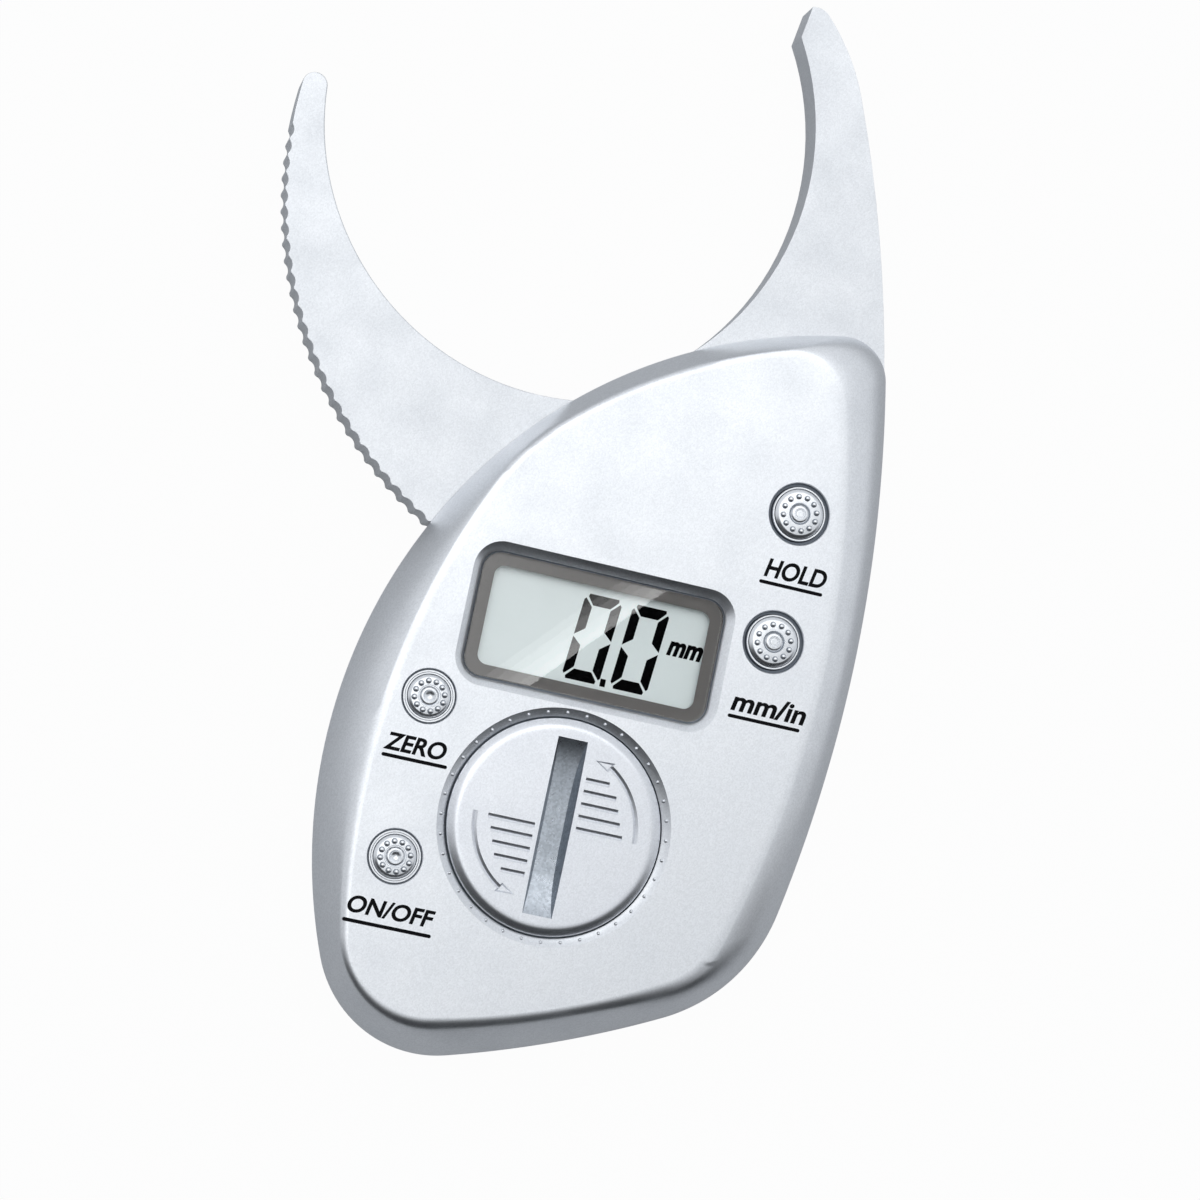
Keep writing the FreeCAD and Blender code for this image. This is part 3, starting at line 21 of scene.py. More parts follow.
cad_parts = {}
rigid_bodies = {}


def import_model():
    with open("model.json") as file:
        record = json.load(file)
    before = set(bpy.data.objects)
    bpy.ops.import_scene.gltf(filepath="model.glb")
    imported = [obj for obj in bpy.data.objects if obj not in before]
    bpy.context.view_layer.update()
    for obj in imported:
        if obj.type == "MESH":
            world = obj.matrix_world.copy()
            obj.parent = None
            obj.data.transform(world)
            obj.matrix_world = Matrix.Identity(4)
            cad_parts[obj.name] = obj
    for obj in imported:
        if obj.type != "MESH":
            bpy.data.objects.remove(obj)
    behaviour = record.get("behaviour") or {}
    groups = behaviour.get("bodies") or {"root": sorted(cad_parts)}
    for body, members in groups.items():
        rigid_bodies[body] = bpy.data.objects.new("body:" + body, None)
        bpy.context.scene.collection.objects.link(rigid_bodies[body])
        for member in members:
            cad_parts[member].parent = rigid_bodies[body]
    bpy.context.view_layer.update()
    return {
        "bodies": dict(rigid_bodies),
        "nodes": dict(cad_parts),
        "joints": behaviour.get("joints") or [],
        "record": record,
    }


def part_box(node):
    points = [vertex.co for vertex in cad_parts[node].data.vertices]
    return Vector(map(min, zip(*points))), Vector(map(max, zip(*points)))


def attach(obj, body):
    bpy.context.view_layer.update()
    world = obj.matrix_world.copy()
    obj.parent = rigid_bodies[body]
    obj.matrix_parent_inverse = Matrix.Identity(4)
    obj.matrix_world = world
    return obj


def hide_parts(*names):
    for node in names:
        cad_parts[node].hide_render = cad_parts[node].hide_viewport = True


LOG = logging.getLogger("skinfold_caliper")
MM = 0.001
WELD, FINE_WELD = 1e-7, 1e-8
FLAT_ANGLE, BEVEL_ANGLE = 0.6, 38.0
HAIR, SUNK, RAISED = 0.01, 0.01, 0.02
SIDE_STEPS, CORNER_STEPS = 40, 24
PILOT_STEPS, COARSE_STEPS, STEPS, FINE_STEPS = 24, 32, 96, 160
WHITE = (1.0, 1.0, 1.0, 1.0)
BATTERY = (-2.5, -55.1)

Point = tuple[float, float]
Place = tuple[float, float, float]


class Key(Enum):
    """The four keys, named as their nodes and bodies are."""

    HOLD = "hold_button"
    UNITS = "units_button"
    ZERO = "zero_button"
    POWER = "power_button"


class Cut(Enum):
    """The ways in which one solid works on another."""

    AWAY = "DIFFERENCE"
    ADD = "UNION"


# Colours and nodes

def linear(code: str) -> tuple[float, float, float, float]:
    """Turn an sRGB hex colour, "#RRGGBB", into Blender's linear light with an alpha of 1."""
    parts = [int(code[i:i + 2], 16) / 255 for i in (1, 3, 5)]
    light = [part / 12.92 if part <= 0.04045 else ((part + 0.055) / 1.055) ** 2.4 for part in parts]
    return light[0], light[1], light[2], 1.0


def add_node(tree: NodeTree, kind: str, inputs: dict | None = None, **settings: object) -> Node:
    """Add a node with its settings, values and links.

    Args:
        tree: The node tree.
        kind: The node's type.
        inputs: Values or output sockets, by the name or number of the input they go to.
        settings: The node's own properties.

    Returns:
        The new node.
    """
    node = tree.nodes.new(kind)
    for name, value in settings.items():
        setattr(node, name, value)
    for key, value in (inputs or {}).items():
        if isinstance(value, NodeSocket):
            tree.links.new(value, node.inputs[key])
        else:
            node.inputs[key].default_value = value
    return node


def emptied(owner: Material | bpy.types.World) -> NodeTree:
    """Switch on a material's or a world's nodes, and empty its tree."""
    owner.use_nodes = True
    owner.node_tree.nodes.clear()
    return owner.node_tree


def noise(tree: NodeTree, place: NodeSocket, size: float, detail: float) -> NodeSocket:
    """Noise with features of a size in millimetres."""
    return add_node(tree, "ShaderNodeTexNoise", {
        "Vector": place, "Scale": 1 / (size * MM), "Detail": detail}).outputs["Fac"]


def blend(tree: NodeTree, share: NodeSocket, first: object, second: object) -> NodeSocket:
    """Blend one colour into another by a share."""
    return add_node(tree, "ShaderNodeMix", {0: share, 6: first, 7: second}, data_type="RGBA").outputs[2]


def mapped(tree: NodeTree, value: NodeSocket, *limits: float, eased: bool = False) -> NodeSocket:
    """Map a value to another range.

    Args:
        tree: The node tree.
        value: The value.
        limits: The range it comes from, and the range it goes to, which is 0 to 1 if left out.
        eased: Whether the ends are eased.

    Returns:
        The mapped value.
    """
    names = ("From Min", "From Max", "To Min", "To Max")
    return add_node(tree, "ShaderNodeMapRange", {"Value": value, **dict(zip(names, limits))},
                    interpolation_type="SMOOTHSTEP" if eased else "LINEAR").outputs["Result"]


def maths(tree: NodeTree, operation: str, first: NodeSocket, second: object) -> NodeSocket:
    """Combine two values by an operation."""
    return add_node(tree, "ShaderNodeMath", {0: first, 1: second}, operation=operation).outputs[0]


def product(tree: NodeTree, direction: NodeSocket, towards: Sequence[float]) -> NodeSocket:
    """The cosine of the angle between two directions."""
    return add_node(tree, "ShaderNodeVectorMath", {0: direction, 1: towards},
                    operation="DOT_PRODUCT").outputs["Value"]


# Finishes

@dataclass(frozen=True)
class Finish:
    """Moulded plastic: a faint mottle over some millimetres and the fine grain of a spark-eroded mould.

    The mottle turns the colour towards a second one and spreads the roughness a little.
    """

    name: str
    colour: str
    second: str
    roughness: float
    metallic: float = 0.0
    ior: float = 1.5
    mottle: float = 9.0
    grain: float = 0.35
    grain_depth: float = 0.004
    spread: float = 0.08

    def build(self) -> Material:
        """Make the material."""
        material = bpy.data.materials.new(self.name)
        tree = emptied(material)
        place = add_node(tree, "ShaderNodeTexCoord").outputs["Object"]
        bump = add_node(tree, "ShaderNodeBump", {
            "Height": noise(tree, place, self.grain, 2.0), "Distance": self.grain_depth * MM,
            "Strength": 1.0})
        shader = add_node(tree, "ShaderNodeBsdfPrincipled", {
            "Metallic": self.metallic, "Roughness": self.roughness, "IOR": self.ior,
            "Normal": bump.outputs["Normal"], **self.look(tree, place)})
        add_node(tree, "ShaderNodeOutputMaterial", {"Surface": self.surface(tree, shader.outputs[0])})
        return material

    def look(self, tree: NodeTree, place: NodeSocket) -> dict[str, object]:
        """Draw the finish's pattern.

        Args:
            tree: The material's tree.
            place: Object coordinates.

        Returns:
            Inputs of the surface shader, by name.
        """
        mottle, half = noise(tree, place, self.mottle, 3.0), self.spread / 2
        return {"Base Color": blend(tree, mottle, linear(self.colour), linear(self.second)),
                "Roughness": mapped(tree, mottle, 0.3, 0.7, self.roughness - half, self.roughness + half)}

    def surface(self, tree: NodeTree, shader: NodeSocket) -> NodeSocket:
        """The surface that goes to the output."""
        return shader


@dataclass(frozen=True)
class FlakePaint(Finish):
    """Silver paint on ABS: aluminium flakes under a thin clear coat, each flake a shade of its own.

    Real flakes are some hundredths of a millimetre across. These are drawn coarser, so that their
    sparkle shows.
    """

    flake: float = 0.2
    sparkle: float = 0.1

    def look(self, tree: NodeTree, place: NodeSocket) -> dict[str, object]:
        """Scatter flakes over the mottled colour, as Finish.look says."""
        inputs = super().look(tree, place)
        flakes = add_node(tree, "ShaderNodeTexVoronoi", {"Vector": place, "Scale": 1 / (self.flake * MM)})
        shade = mapped(tree, flakes.outputs["Color"], 0.0, 1.0, 1 - self.sparkle, 1 + self.sparkle / 2)
        inputs["Base Color"] = add_node(tree, "ShaderNodeVectorMath", {
            0: inputs["Base Color"], "Scale": shade}, operation="SCALE").outputs[0]
        return inputs


@dataclass(frozen=True)
class Metal(Finish):
    """Rolled or turned metal: fine lines along one axis in its roughness and its colour."""

    line: float = 0.15
    stretch: float = 30.0

    def look(self, tree: NodeTree, place: NodeSocket) -> dict[str, object]:
        """Draw the lines that rolling or turning leaves, as Finish.look says."""
        drawn = add_node(tree, "ShaderNodeMapping", {"Vector": place, "Scale": (1.0, 1 / self.stretch, 1.0)})
        lines = noise(tree, drawn.outputs["Vector"], self.line, 2.0)
        return {"Base Color": blend(tree, lines, linear(self.colour), linear(self.second)),
                "Roughness": mapped(
                    tree, lines, 0.0, 1.0, self.roughness - self.spread, self.roughness + self.spread)}


@dataclass(frozen=True)
class Striped(Finish):
    """Layers side by side: a rubber connector's black and pale ones, or copper under a board's lacquer."""

    pitch: float = 0.5
    share: float = 0.5
    waviness: float = 0.0
    softness: float = 0.06

    def look(self, tree: NodeTree, place: NodeSocket) -> dict[str, object]:
        """Draw the layers across the X axis, as Finish.look says."""
        bands = add_node(tree, "ShaderNodeTexWave", {
            "Vector": place, "Scale": 0.314159 / (self.pitch * MM), "Distortion": self.waviness,
            "Detail Scale": 0.4}, bands_direction="X", wave_type="BANDS")
        edge = mapped(tree, bands.outputs["Fac"], self.share - self.softness, self.share + self.softness)
        return {"Base Color": blend(tree, edge, linear(self.colour), linear(self.second))}


@dataclass(frozen=True)
class ClearAcrylic(Finish):
    """Clear acrylic: light passes it straight to what lies behind, and its face mirrors the lamp."""

    def look(self, tree: NodeTree, place: NodeSocket) -> dict[str, object]:
        """Clear through and through, as Finish.look says."""
        return {"Base Color": linear(self.colour), "Transmission Weight": 1.0}

    def surface(self, tree: NodeTree, shader: NodeSocket) -> NodeSocket:
        """Let shadow rays through, so that the display stays lit."""
        clear = add_node(tree, "ShaderNodeBsdfTransparent", {"Color": linear(self.colour)})
        shadow = add_node(tree, "ShaderNodeLightPath").outputs["Is Shadow Ray"]
        return add_node(tree, "ShaderNodeMixShader", {0: shadow, 1: shader, 2: clear.outputs[0]}).outputs[0]


SHELL_PAINT = FlakePaint("silver_flake_paint", "#EAECEF", "#E1E4E8", 0.37, metallic=0.95, grain=0.5,
                         grain_depth=0.003)
JAW_PAINT = FlakePaint("silver_jaw_paint", "#DFE1E4", "#D6D9DD", 0.42, metallic=0.86, grain=0.4)
COVER_PAINT = FlakePaint("silver_cover_paint", "#E8EAEE", "#DEE1E6", 0.35, metallic=0.95, grain=0.5,
                         grain_depth=0.003)
# The coin slot's paint: scuffed by coins, and darker than the cover's, that darker tone being painted shade
# of the recess.
SLOT_WEAR_AND_SHADE_PAINT = FlakePaint("scuffed_and_shaded_slot_paint", "#B8BEC5", "#A2A9B1", 0.3, metallic=0.95, mottle=1.6, grain=0.3,
                        grain_depth=0.012, flake=0.3, sparkle=0.25)
KEY_PAINT = FlakePaint("pale_key_paint", "#E9EBEE", "#E1E4E8", 0.3, metallic=0.93, mottle=3.0, flake=0.12,
                       sparkle=0.05)
LENS_ACRYLIC = ClearAcrylic("clear_acrylic", "#FFFFFF", "#FFFFFF", 0.0, ior=1.43, grain=2.0,
                            grain_depth=0.0005)
FRAME_PRINT = Finish("grey_screen_print", "#757371", "#6A6866", 0.5, ior=1.1, mottle=14.0, grain_depth=0.002)
DISPLAY_GLASS = Finish("reflective_display", "#ECF4F3", "#E2ECEB", 0.35, ior=1.1, mottle=16.0, grain=0.3,
                       grain_depth=0.002)
FIGURE_INK = Finish("dark_segments", "#050506", "#08090A", 0.45, ior=1.05, grain_depth=0.001)
LABEL_INK = Finish("black_pad_print", "#08080A", "#131316", 0.5, mottle=2.0, grain=0.2, ior=1.12)
# Painted shade: a mid grey laid where shade falls, deep in the gaps round the lens, the cover and the keys,
# on the cover's and the caps' sides and at the bumps' feet.
PAINTED_SHADE_PLASTIC = Finish("painted_crevice_shade", "#868E99", "#7B838D", 0.55)
FRAME_PLASTIC = Finish("black_polycarbonate", "#1B1C1F", "#27292D", 0.5)
STEEL = Metal("rolled_steel", "#C6C9CD", "#AEB2B7", 0.3, metallic=1.0)
SPRING_STEEL = Metal("spring_steel", "#D2D0C6", "#B9B6AA", 0.25, metallic=1.0)
SCREW_STEEL = Metal("zinc_plated_steel", "#C3C6CC", "#9FA3AA", 0.34, metallic=1.0, stretch=4.0)
CELL_STEEL = Metal("nickel_plated_steel", "#D4D5D6", "#BFC1C3", 0.22, metallic=1.0, line=0.1)
BOARD = Striped("lacquered_laminate", "#1F6B43", "#2C8254", 0.35, pitch=2.2, share=0.72, waviness=4.0)
CONNECTOR = Striped("layered_rubber", "#2A2A2C", "#C9B9BE", 0.6, pitch=0.4)
RESIN = Finish("black_potting_resin", "#101012", "#1A1A1D", 0.25, grain=1.2, grain_depth=0.02)
ACETAL = Finish("white_acetal", "#ECEBE4", "#E2E1DA", 0.4, mottle=4.0)


# Solids

def show(name: str, data: bpy.types.ID) -> Object:
    """Show a mesh, a word, a lamp or a camera as an object at the origin."""
    piece = bpy.data.objects.new(name, data)
    bpy.context.scene.collection.objects.link(piece)
    return piece


def cleaned(mesh: Mesh, weld: float, flatten: float = 0.0, outward: bool = False) -> Mesh:
    """Weld a mesh's corners.

    Args:
        mesh: The mesh.
        weld: The distance in metres under which two corners are one.
        flatten: The angle in degrees under which two faces are one.
        outward: Whether its faces are turned outwards.

    Returns:
        The same mesh.
    """
    work = bmesh.new()
    work.from_mesh(mesh)
    bmesh.ops.remove_doubles(work, verts=work.verts, dist=weld)
    if flatten:
        bmesh.ops.dissolve_limit(work, angle_limit=math.radians(flatten), verts=work.verts, edges=work.edges)
    if outward:
        bmesh.ops.recalc_face_normals(work, faces=work.faces)
    work.to_mesh(mesh)
    work.free()
    return mesh


def solid(name: str, points: Iterable[Sequence[float]], faces: Sequence[Sequence[int]]) -> Object:
    """Make a closed piece whose faces point outwards.

    Args:
        name: The piece's name.
        points: Its corners in millimetres.
        faces: Its faces, as numbers of corners.

    Returns:
        The new object.
    """
    mesh = bpy.data.meshes.new(name)
    mesh.from_pydata([Vector(point) * MM for point in points], [], faces)
    return show(name, cleaned(mesh, FINE_WELD, outward=True))


def stack(name: str, rings: Sequence[Sequence[Sequence[float]]]) -> Object:
    """Join rings of as many points each with strips of faces, and cap both ends.

    Args:
        name: The piece's name.
        rings: Rings of points in millimetres, from one end to the other.

    Returns:
        The new object.
    """
    count, last = len(rings[0]), (len(rings) - 1) * len(rings[0])
    faces: list[Sequence[int]] = []
    for low in range(0, last, count):
        for i in range(count):
            after = (i + 1) % count
            faces.append((low + i, low + after, low + count + after, low + count + i))
    faces += [range(count), range(last, last + count)]
    return solid(name, [point for ring in rings for point in ring], faces)


def lathe(name: str, centre: Point, profile: Sequence[Point], steps: int = STEPS) -> Object:
    """Turn a profile of radii and heights about an upright axis.

    Args:
        name: The piece's name.
        centre: The axis.
        profile: Radii and heights. It starts and ends on the axis.
        steps: Faces of a full turn.

    Returns:
        The new object.
    """
    turns = [(math.cos(math.tau * i / steps), math.sin(math.tau * i / steps)) for i in range(steps)]
    points: list[Place] = []
    rows: list[list[int]] = []
    for radius, height in profile:
        ring = turns if radius else turns[:1]
        rows.append([len(points) + i % len(ring) for i in range(steps)])
        points.extend((centre[0] + radius * x, centre[1] + radius * y, height) for x, y in ring)
    faces = []
    for low, high in zip(rows, rows[1:]):
        for i in range(steps):
            after = (i + 1) % steps
            corners = [low[i], low[after], high[after], high[i]]
            kept = [corner for j, corner in enumerate(corners) if corner != corners[j - 1]]
            if len(kept) > 2:
                faces.append(kept)
    return solid(name, points, faces)


def post(name: str, centre: Point, radius: float, low: float, high: float, steps: int = STEPS) -> Object:
    """Make an upright cylinder from a low to a high end."""
    return lathe(name, centre, ((0, low), (radius, low), (radius, high), (0, high)), steps)


def resample(line: Sequence[Vector], count: int) -> list[Vector]:
    """Take even steps along a line.

    Args:
        line: Its points.
        count: The number of points to take, with both ends.

    Returns:
        The new points.
    """
    lengths = [0.0]
    for first, second in zip(line, line[1:]):
        lengths.append(lengths[-1] + (second - first).length)
    picked, i = [], 0
    for step in range(count):
        wanted = lengths[-1] * step / (count - 1)
        while i < len(line) - 2 and lengths[i + 1] < wanted:
            i += 1
        share = (wanted - lengths[i]) / (lengths[i + 1] - lengths[i])
        picked.append(line[i].lerp(line[i + 1], min(1.0, share)))
    return picked


def inset(outline: Sequence[Point], distance: float) -> list[Point]:
    """Draw an outline in, with mitred corners.

    Args:
        outline: Its points, anticlockwise.
        distance: How far in.

    Returns:
        The new outline.
    """
    drawn = []
    for i, (x, y) in enumerate(outline):
        before, here, after = (Vector(outline[j % len(outline)]) for j in (i - 1, i, i + 1))
        first, second = (here - before).normalized(), (after - here).normalized()
        normal = Vector((-first.y - second.y, first.x + second.x)).normalized()
        mitre = max(0.5, normal.dot(Vector((-first.y, first.x))))
        drawn.append((x + normal.x * distance / mitre, y + normal.y * distance / mitre))
    return drawn


def level(outline: Sequence[Point], height: float) -> list[Place]:
    """Lift an outline to a height."""
    return [(x, y, height) for x, y in outline]


def plate(name: str, outline: Sequence[Point], low: float, high: float, edge: float = 0.0) -> Object:
    """Make a plate with rounded upper and lower edges.

    Args:
        name: The piece's name.
        outline: Its outline, anticlockwise.
        low: Lower face.
        high: Upper face.
        edge: Radius of its edges.

    Returns:
        The new object.
    """
    if not edge:
        return stack(name, [level(outline, low), level(outline, high)])
    steps = [math.pi / 2 * i / 4 for i in range(5)]
    lower = [level(inset(outline, edge * (1 - math.sin(a))), low + edge * (1 - math.cos(a))) for a in steps]
    upper = [level(inset(outline, edge * (1 - math.cos(a))), high - edge * (1 - math.sin(a))) for a in steps]
    return stack(name, lower + upper)


@dataclass(frozen=True)
class Pane:
    """A rectangle with round corners."""

    centre: Point
    length: float
    width: float
    corner: float

    def outline(self, out: float = 0.0, steps: int = 10) -> list[Point]:
        """Draw its outline, anticlockwise.

        Args:
            out: A distance by which the outline is moved out.
            steps: Steps of a corner.

        Returns:
            The points.
        """
        length, width, corner = self.length + 2 * out, self.width + 2 * out, self.corner + out
        points = []
        for quarter, (side, rise) in enumerate(((1, 1), (-1, 1), (-1, -1), (1, -1))):
            x, y = self.centre[0] + side * (length / 2 - corner), self.centre[1] + rise * (width / 2 - corner)
            for i in range(steps + 1):
                angle = math.pi / 2 * (quarter + i / steps)
                points.append((x + corner * math.cos(angle), y + corner * math.sin(angle)))
        return points


LENS = Pane((-2.1, -25.5), 38.4, 19.1, 2.9)
LEDGE = Pane((-2.1, -25.5), 41.4, 22.1, 2.9)
WINDOW = Pane((-2.1, -25.5), 35.4, 16.35, 2.1)


def modify(piece: Object, name: str, kind: str, **settings: object) -> bpy.types.Modifier:
    """Add a modifier.

    Args:
        piece: The piece.
        name: The modifier's name.
        kind: Its type.
        settings: Its properties.

    Returns:
        The new modifier.
    """
    modifier = piece.modifiers.new(name, kind)
    for name, value in settings.items():
        setattr(modifier, name, value)
    return modifier


def keep_result(piece: Object) -> None:
    """Turn a piece's modifiers into its mesh."""
    result = bpy.data.meshes.new_from_object(piece.evaluated_get(bpy.context.evaluated_depsgraph_get()))
    piece.modifiers.clear()
    piece.data = result


def joined(name: str, parts: Iterable[Object]) -> Object:
    """Put the meshes of several objects in one new object.

    Args:
        name: The new object's name.
        parts: The objects, which are removed.

    Returns:
        The new object.
    """
    work = bmesh.new()
    for part in parts:
        work.from_mesh(part.data)
        bpy.data.objects.remove(part)
    mesh = bpy.data.meshes.new(name)
    work.to_mesh(mesh)
    work.free()
    return show(name, mesh)


def work_on(piece: Object, tools: Iterable[Object], cut: Cut) -> None:
    """Cut solids from a piece in one step, or add them to it, and remove them.

    Args:
        piece: The piece that changes.
        tools: The solids, which may overlap.
        cut: How they work on it.
    """
    tool = joined("tools", tools)
    modify(piece, "cut", "BOOLEAN", operation=cut.value, solver="EXACT", use_self=True, object=tool)
    keep_result(piece)
    bpy.data.objects.remove(tool)


def smooth(piece: Object, finish: Material, angle: float = 32.0) -> Object:
    """Shade a finished piece, and give it its finish.

    Args:
        piece: The piece.
        finish: Its material.
        angle: The least angle of a crisp edge, in degrees.

    Returns:
        The same piece.
    """
    piece.data.shade_smooth()
    piece.data.set_sharp_from_angle(angle=math.radians(angle))
    piece.data.materials.clear()
    piece.data.materials.append(finish)
    modify(piece, "flat_faces", "WEIGHTED_NORMAL", keep_sharp=True, weight=80)
    return piece


def second_finish(piece: Object, finish: Material, test: Callable[[Vector], bool]) -> None:
    """Give the faces that pass a test another finish.

    Args:
        piece: The piece.
        finish: The other finish.
        test: Takes the middle of a face in millimetres, and says whether the face gets the finish.
    """
    piece.data.materials.append(finish)
    for face in piece.data.polygons:
        if test(face.center / MM):
            face.material_index = len(piece.data.materials) - 1


def softened(node: Object, name: str, width: float, finish: Material) -> Object:
    """Copy a node's solid, and round its edges.

    Args:
        node: The frame's solid.
        name: The copy's name.
        width: Width of the rounding in millimetres.
        finish: Its material.

    Returns:
        The copy.
    """
    piece = show(name, cleaned(node.data.copy(), WELD, flatten=FLAT_ANGLE))
    modify(piece, "edges", "BEVEL", width=width * MM, segments=2, limit_method="ANGLE",
           angle_limit=math.radians(BEVEL_ANGLE), use_clamp_overlap=True)
    keep_result(piece)
    return smooth(piece, finish)


# Repeats

@dataclass(frozen=True)
class DomeRing:
    """A ring of small domes, made by a node tree with its sizes as named inputs."""

    count: int
    circle: float
    radius: float
    height: float
    start: float = 0.0

    NAME = "ring_of_domes"
    INPUTS = (("Count", "NodeSocketInt"), ("Circle", "NodeSocketFloat"), ("Dome", "NodeSocketVector"),
              ("Centre", "NodeSocketVector"), ("Start", "NodeSocketVector"), ("Finish", "NodeSocketMaterial"))

    @classmethod
    def tree(cls) -> NodeTree:
        """Make the tree, or return the one that is there."""
        if cls.NAME in bpy.data.node_groups:
            return bpy.data.node_groups[cls.NAME]
        tree = bpy.data.node_groups.new(cls.NAME, "GeometryNodeTree")
        for label, kind in cls.INPUTS:
            tree.interface.new_socket(label, in_out="INPUT", socket_type=kind)
        tree.interface.new_socket("Geometry", in_out="OUTPUT", socket_type="NodeSocketGeometry")
        given = add_node(tree, "NodeGroupInput").outputs
        circle = add_node(tree, "GeometryNodeMeshCircle", {
            "Vertices": given["Count"], "Radius": given["Circle"]})
        ball = add_node(tree, "GeometryNodeMeshUVSphere", {"Segments": 14, "Rings": 8, "Radius": 1.0})
        domes = add_node(tree, "GeometryNodeInstanceOnPoints", {
            "Points": circle.outputs["Mesh"], "Instance": ball.outputs["Mesh"], "Scale": given["Dome"]})
        whole = add_node(tree, "GeometryNodeRealizeInstances", {"Geometry": domes.outputs["Instances"]})
        moved = add_node(tree, "GeometryNodeTransform", {
            "Geometry": whole.outputs["Geometry"], "Translation": given["Centre"],
            "Rotation": given["Start"]})
        dressed = add_node(tree, "GeometryNodeSetMaterial", {
            "Geometry": moved.outputs["Geometry"], "Material": given["Finish"]})
        add_node(tree, "NodeGroupOutput", {"Geometry": dressed.outputs["Geometry"]})
        return tree

    def build(self, name: str, centre: Place, finish: Material) -> Object:
        """Make the ring.

        Args:
            name: The piece's name.
            centre: Middle of the ring, at the height of the domes' rims.
            finish: Its material.

        Returns:
            The ring as a plain mesh.
        """
        piece = show(name, bpy.data.meshes.new(name))
        tree = self.tree()
        modifier = modify(piece, "ring", "NODES", node_group=tree)
        values = {"Count": self.count, "Circle": self.circle * MM,
                  "Dome": (self.radius * MM, self.radius * MM, self.height * MM),
                  "Centre": tuple(part * MM for part in centre),
                  "Start": (0.0, 0.0, math.radians(self.start)), "Finish": finish}
        for item in tree.interface.items_tree:
            if item.in_out == "INPUT":
                modifier[item.identifier] = values[item.name]
        keep_result(piece)
        piece.data.shade_smooth()
        return piece


# Keys

@dataclass(frozen=True)
class KeyGroove:
    """The groove round a key: distances from the cap's side, and depths under the face."""

    hole: float
    inner: float
    outer: float
    depth: float
    lip: float = 0.0
    edge: tuple[Point, ...] = ((0.0, 0.2), (0.05, 0.11), (0.16, 0.0), (0.5, -0.3))

    def profile(self, radius: float, low: float, top: float) -> list[Point]:
        """Draw the profile of the cutter.

        Args:
            radius: The cap's radius.
            low: The cutter's lower end.
            top: The height of the face.

        Returns:
            Radii and heights.
        """
        hole, inner, outer = radius + self.hole, radius + self.inner, radius + self.outer
        lip = [(hole, top - self.lip), (inner, top - self.lip)] if self.lip else []
        return [(0, low), (hole, low), *lip, (inner, top - self.depth), (outer, top - self.depth),
                *((outer + out, top - drop) for out, drop in self.edge), (0, top - self.edge[-1][1])]


@dataclass(frozen=True)
class KeyCap:
    """A key's cap with its plunger: a ring of grip bumps round a raised boss with a dimple.

    The crown's profile runs from its side to its axis. Side and crevice are distances outwards and
    heights over the shoulder, slope is distances inwards and depths under the top, and boss and middle
    are radii and heights over the top.
    """

    key: Key
    place: Point
    radius: float
    groove: KeyGroove
    flange: Point = (15.1, 15.6)
    flange_reach: float = 0.7
    plunger: float = 1.3
    travel: float = 0.52
    shoulder: float = 0.4
    edge: float = 0.5
    side: tuple[Point, ...] = ((0.0, -0.08), (-0.06, 0.0))
    crevice: tuple[Point, ...] = ((0.14, 0.0), (0.13, -0.35), (0.0, -0.35))
    slope: tuple[Point, ...] = (
        (0.0, 0.42), (0.08, 0.34), (0.25, 0.19), (0.42, 0.07), (0.52, 0.02), (0.6, 0.0))
    slope_radius: float = 4.25
    boss: tuple[Point, ...] = (
        (1.72, 0.0), (1.62, -0.2), (1.5, -0.2), (1.36, 0.02), (1.18, 0.16), (1.08, 0.18))
    middle: tuple[Point, ...] = ((0.88, 0.18), (0.78, 0.0), (0.68, 0.0), (0.58, 0.1), (0.2, 0.12), (0, 0.1))
    bump_room: float = 0.35
    bump: float = 0.46
    bumps: int = 12
    bump_circle: float = 0.63
    # Painted shade on the cap: the ring about the boss between these radii below the first depth, elsewhere
    # below the shoulder by the second, and the bumps' feet under this height.
    shade_ring: Point = (1.4, 2.0)
    shade_depth: Point = (0.12, 0.1)
    shade_foot: float = 0.26

    def well(self, low: float, top: float) -> Object:
        """The cutter of the hole and the groove round it, from a lower end to the face."""
        return lathe("key_well", self.place, self.groove.profile(self.radius, low, top))

    def away(self, place: Vector) -> float:
        """Distance of a place from the key's axis."""
        return (place.xy - Vector(self.place)).length

    def build(self, finish: Material, bare: Material) -> list[Object]:
        """Make the cap and its bumps.

        Args:
            finish: The keys' paint.
            bare: The dark grey painted as shade into the cap's grooves, on its side and at the bumps' feet.

        Returns:
            The pieces.
        """
        lows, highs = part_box(self.key.value)
        low, top = lows[2] / MM + self.travel, highs[2] / MM - self.bump_room
        radius, wide = self.radius, self.radius + self.flange_reach
        crown, shoulder = radius - self.shoulder, top - self.edge
        profile = [(0, low), (self.plunger, low), (self.plunger, self.flange[0]), (wide, self.flange[0]),
                   (wide, self.flange[1]), (radius, self.flange[1]),
                   *((radius + out, shoulder + rise) for out, rise in self.side),
                   *((crown + out, shoulder + rise) for out, rise in self.crevice),
                   *((crown - drawn * radius / self.slope_radius, top - drop) for drawn, drop in self.slope),
                   *((out, top + rise) for out, rise in (*self.boss, *self.middle))]
        cap = smooth(lathe(self.key.value.replace("button", "cap"), self.place, profile), finish)
        # Painted shade: the groove about the boss, the crevice and the side of the cap get the dark grey.
        second_finish(cap, bare, lambda place: place.z < (
            top - self.shade_depth[0] if self.shade_ring[0] < self.away(place) < self.shade_ring[1]
            else shoulder - self.shade_depth[1]))
        ring = DomeRing(self.bumps, radius * self.bump_circle, self.bump, self.bump, 180 / self.bumps)
        bumps = ring.build(self.key.value.replace("button", "bumps"), (*self.place, top - HAIR), finish)
        # Painted shade: the bumps' feet get the dark grey, which outlines them.
        second_finish(bumps, bare, lambda place: place.z < top + self.shade_foot)
        for piece in (cap, bumps):
            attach(piece, self.key.value)
        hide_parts(self.key.value)
        return [cap, bumps]


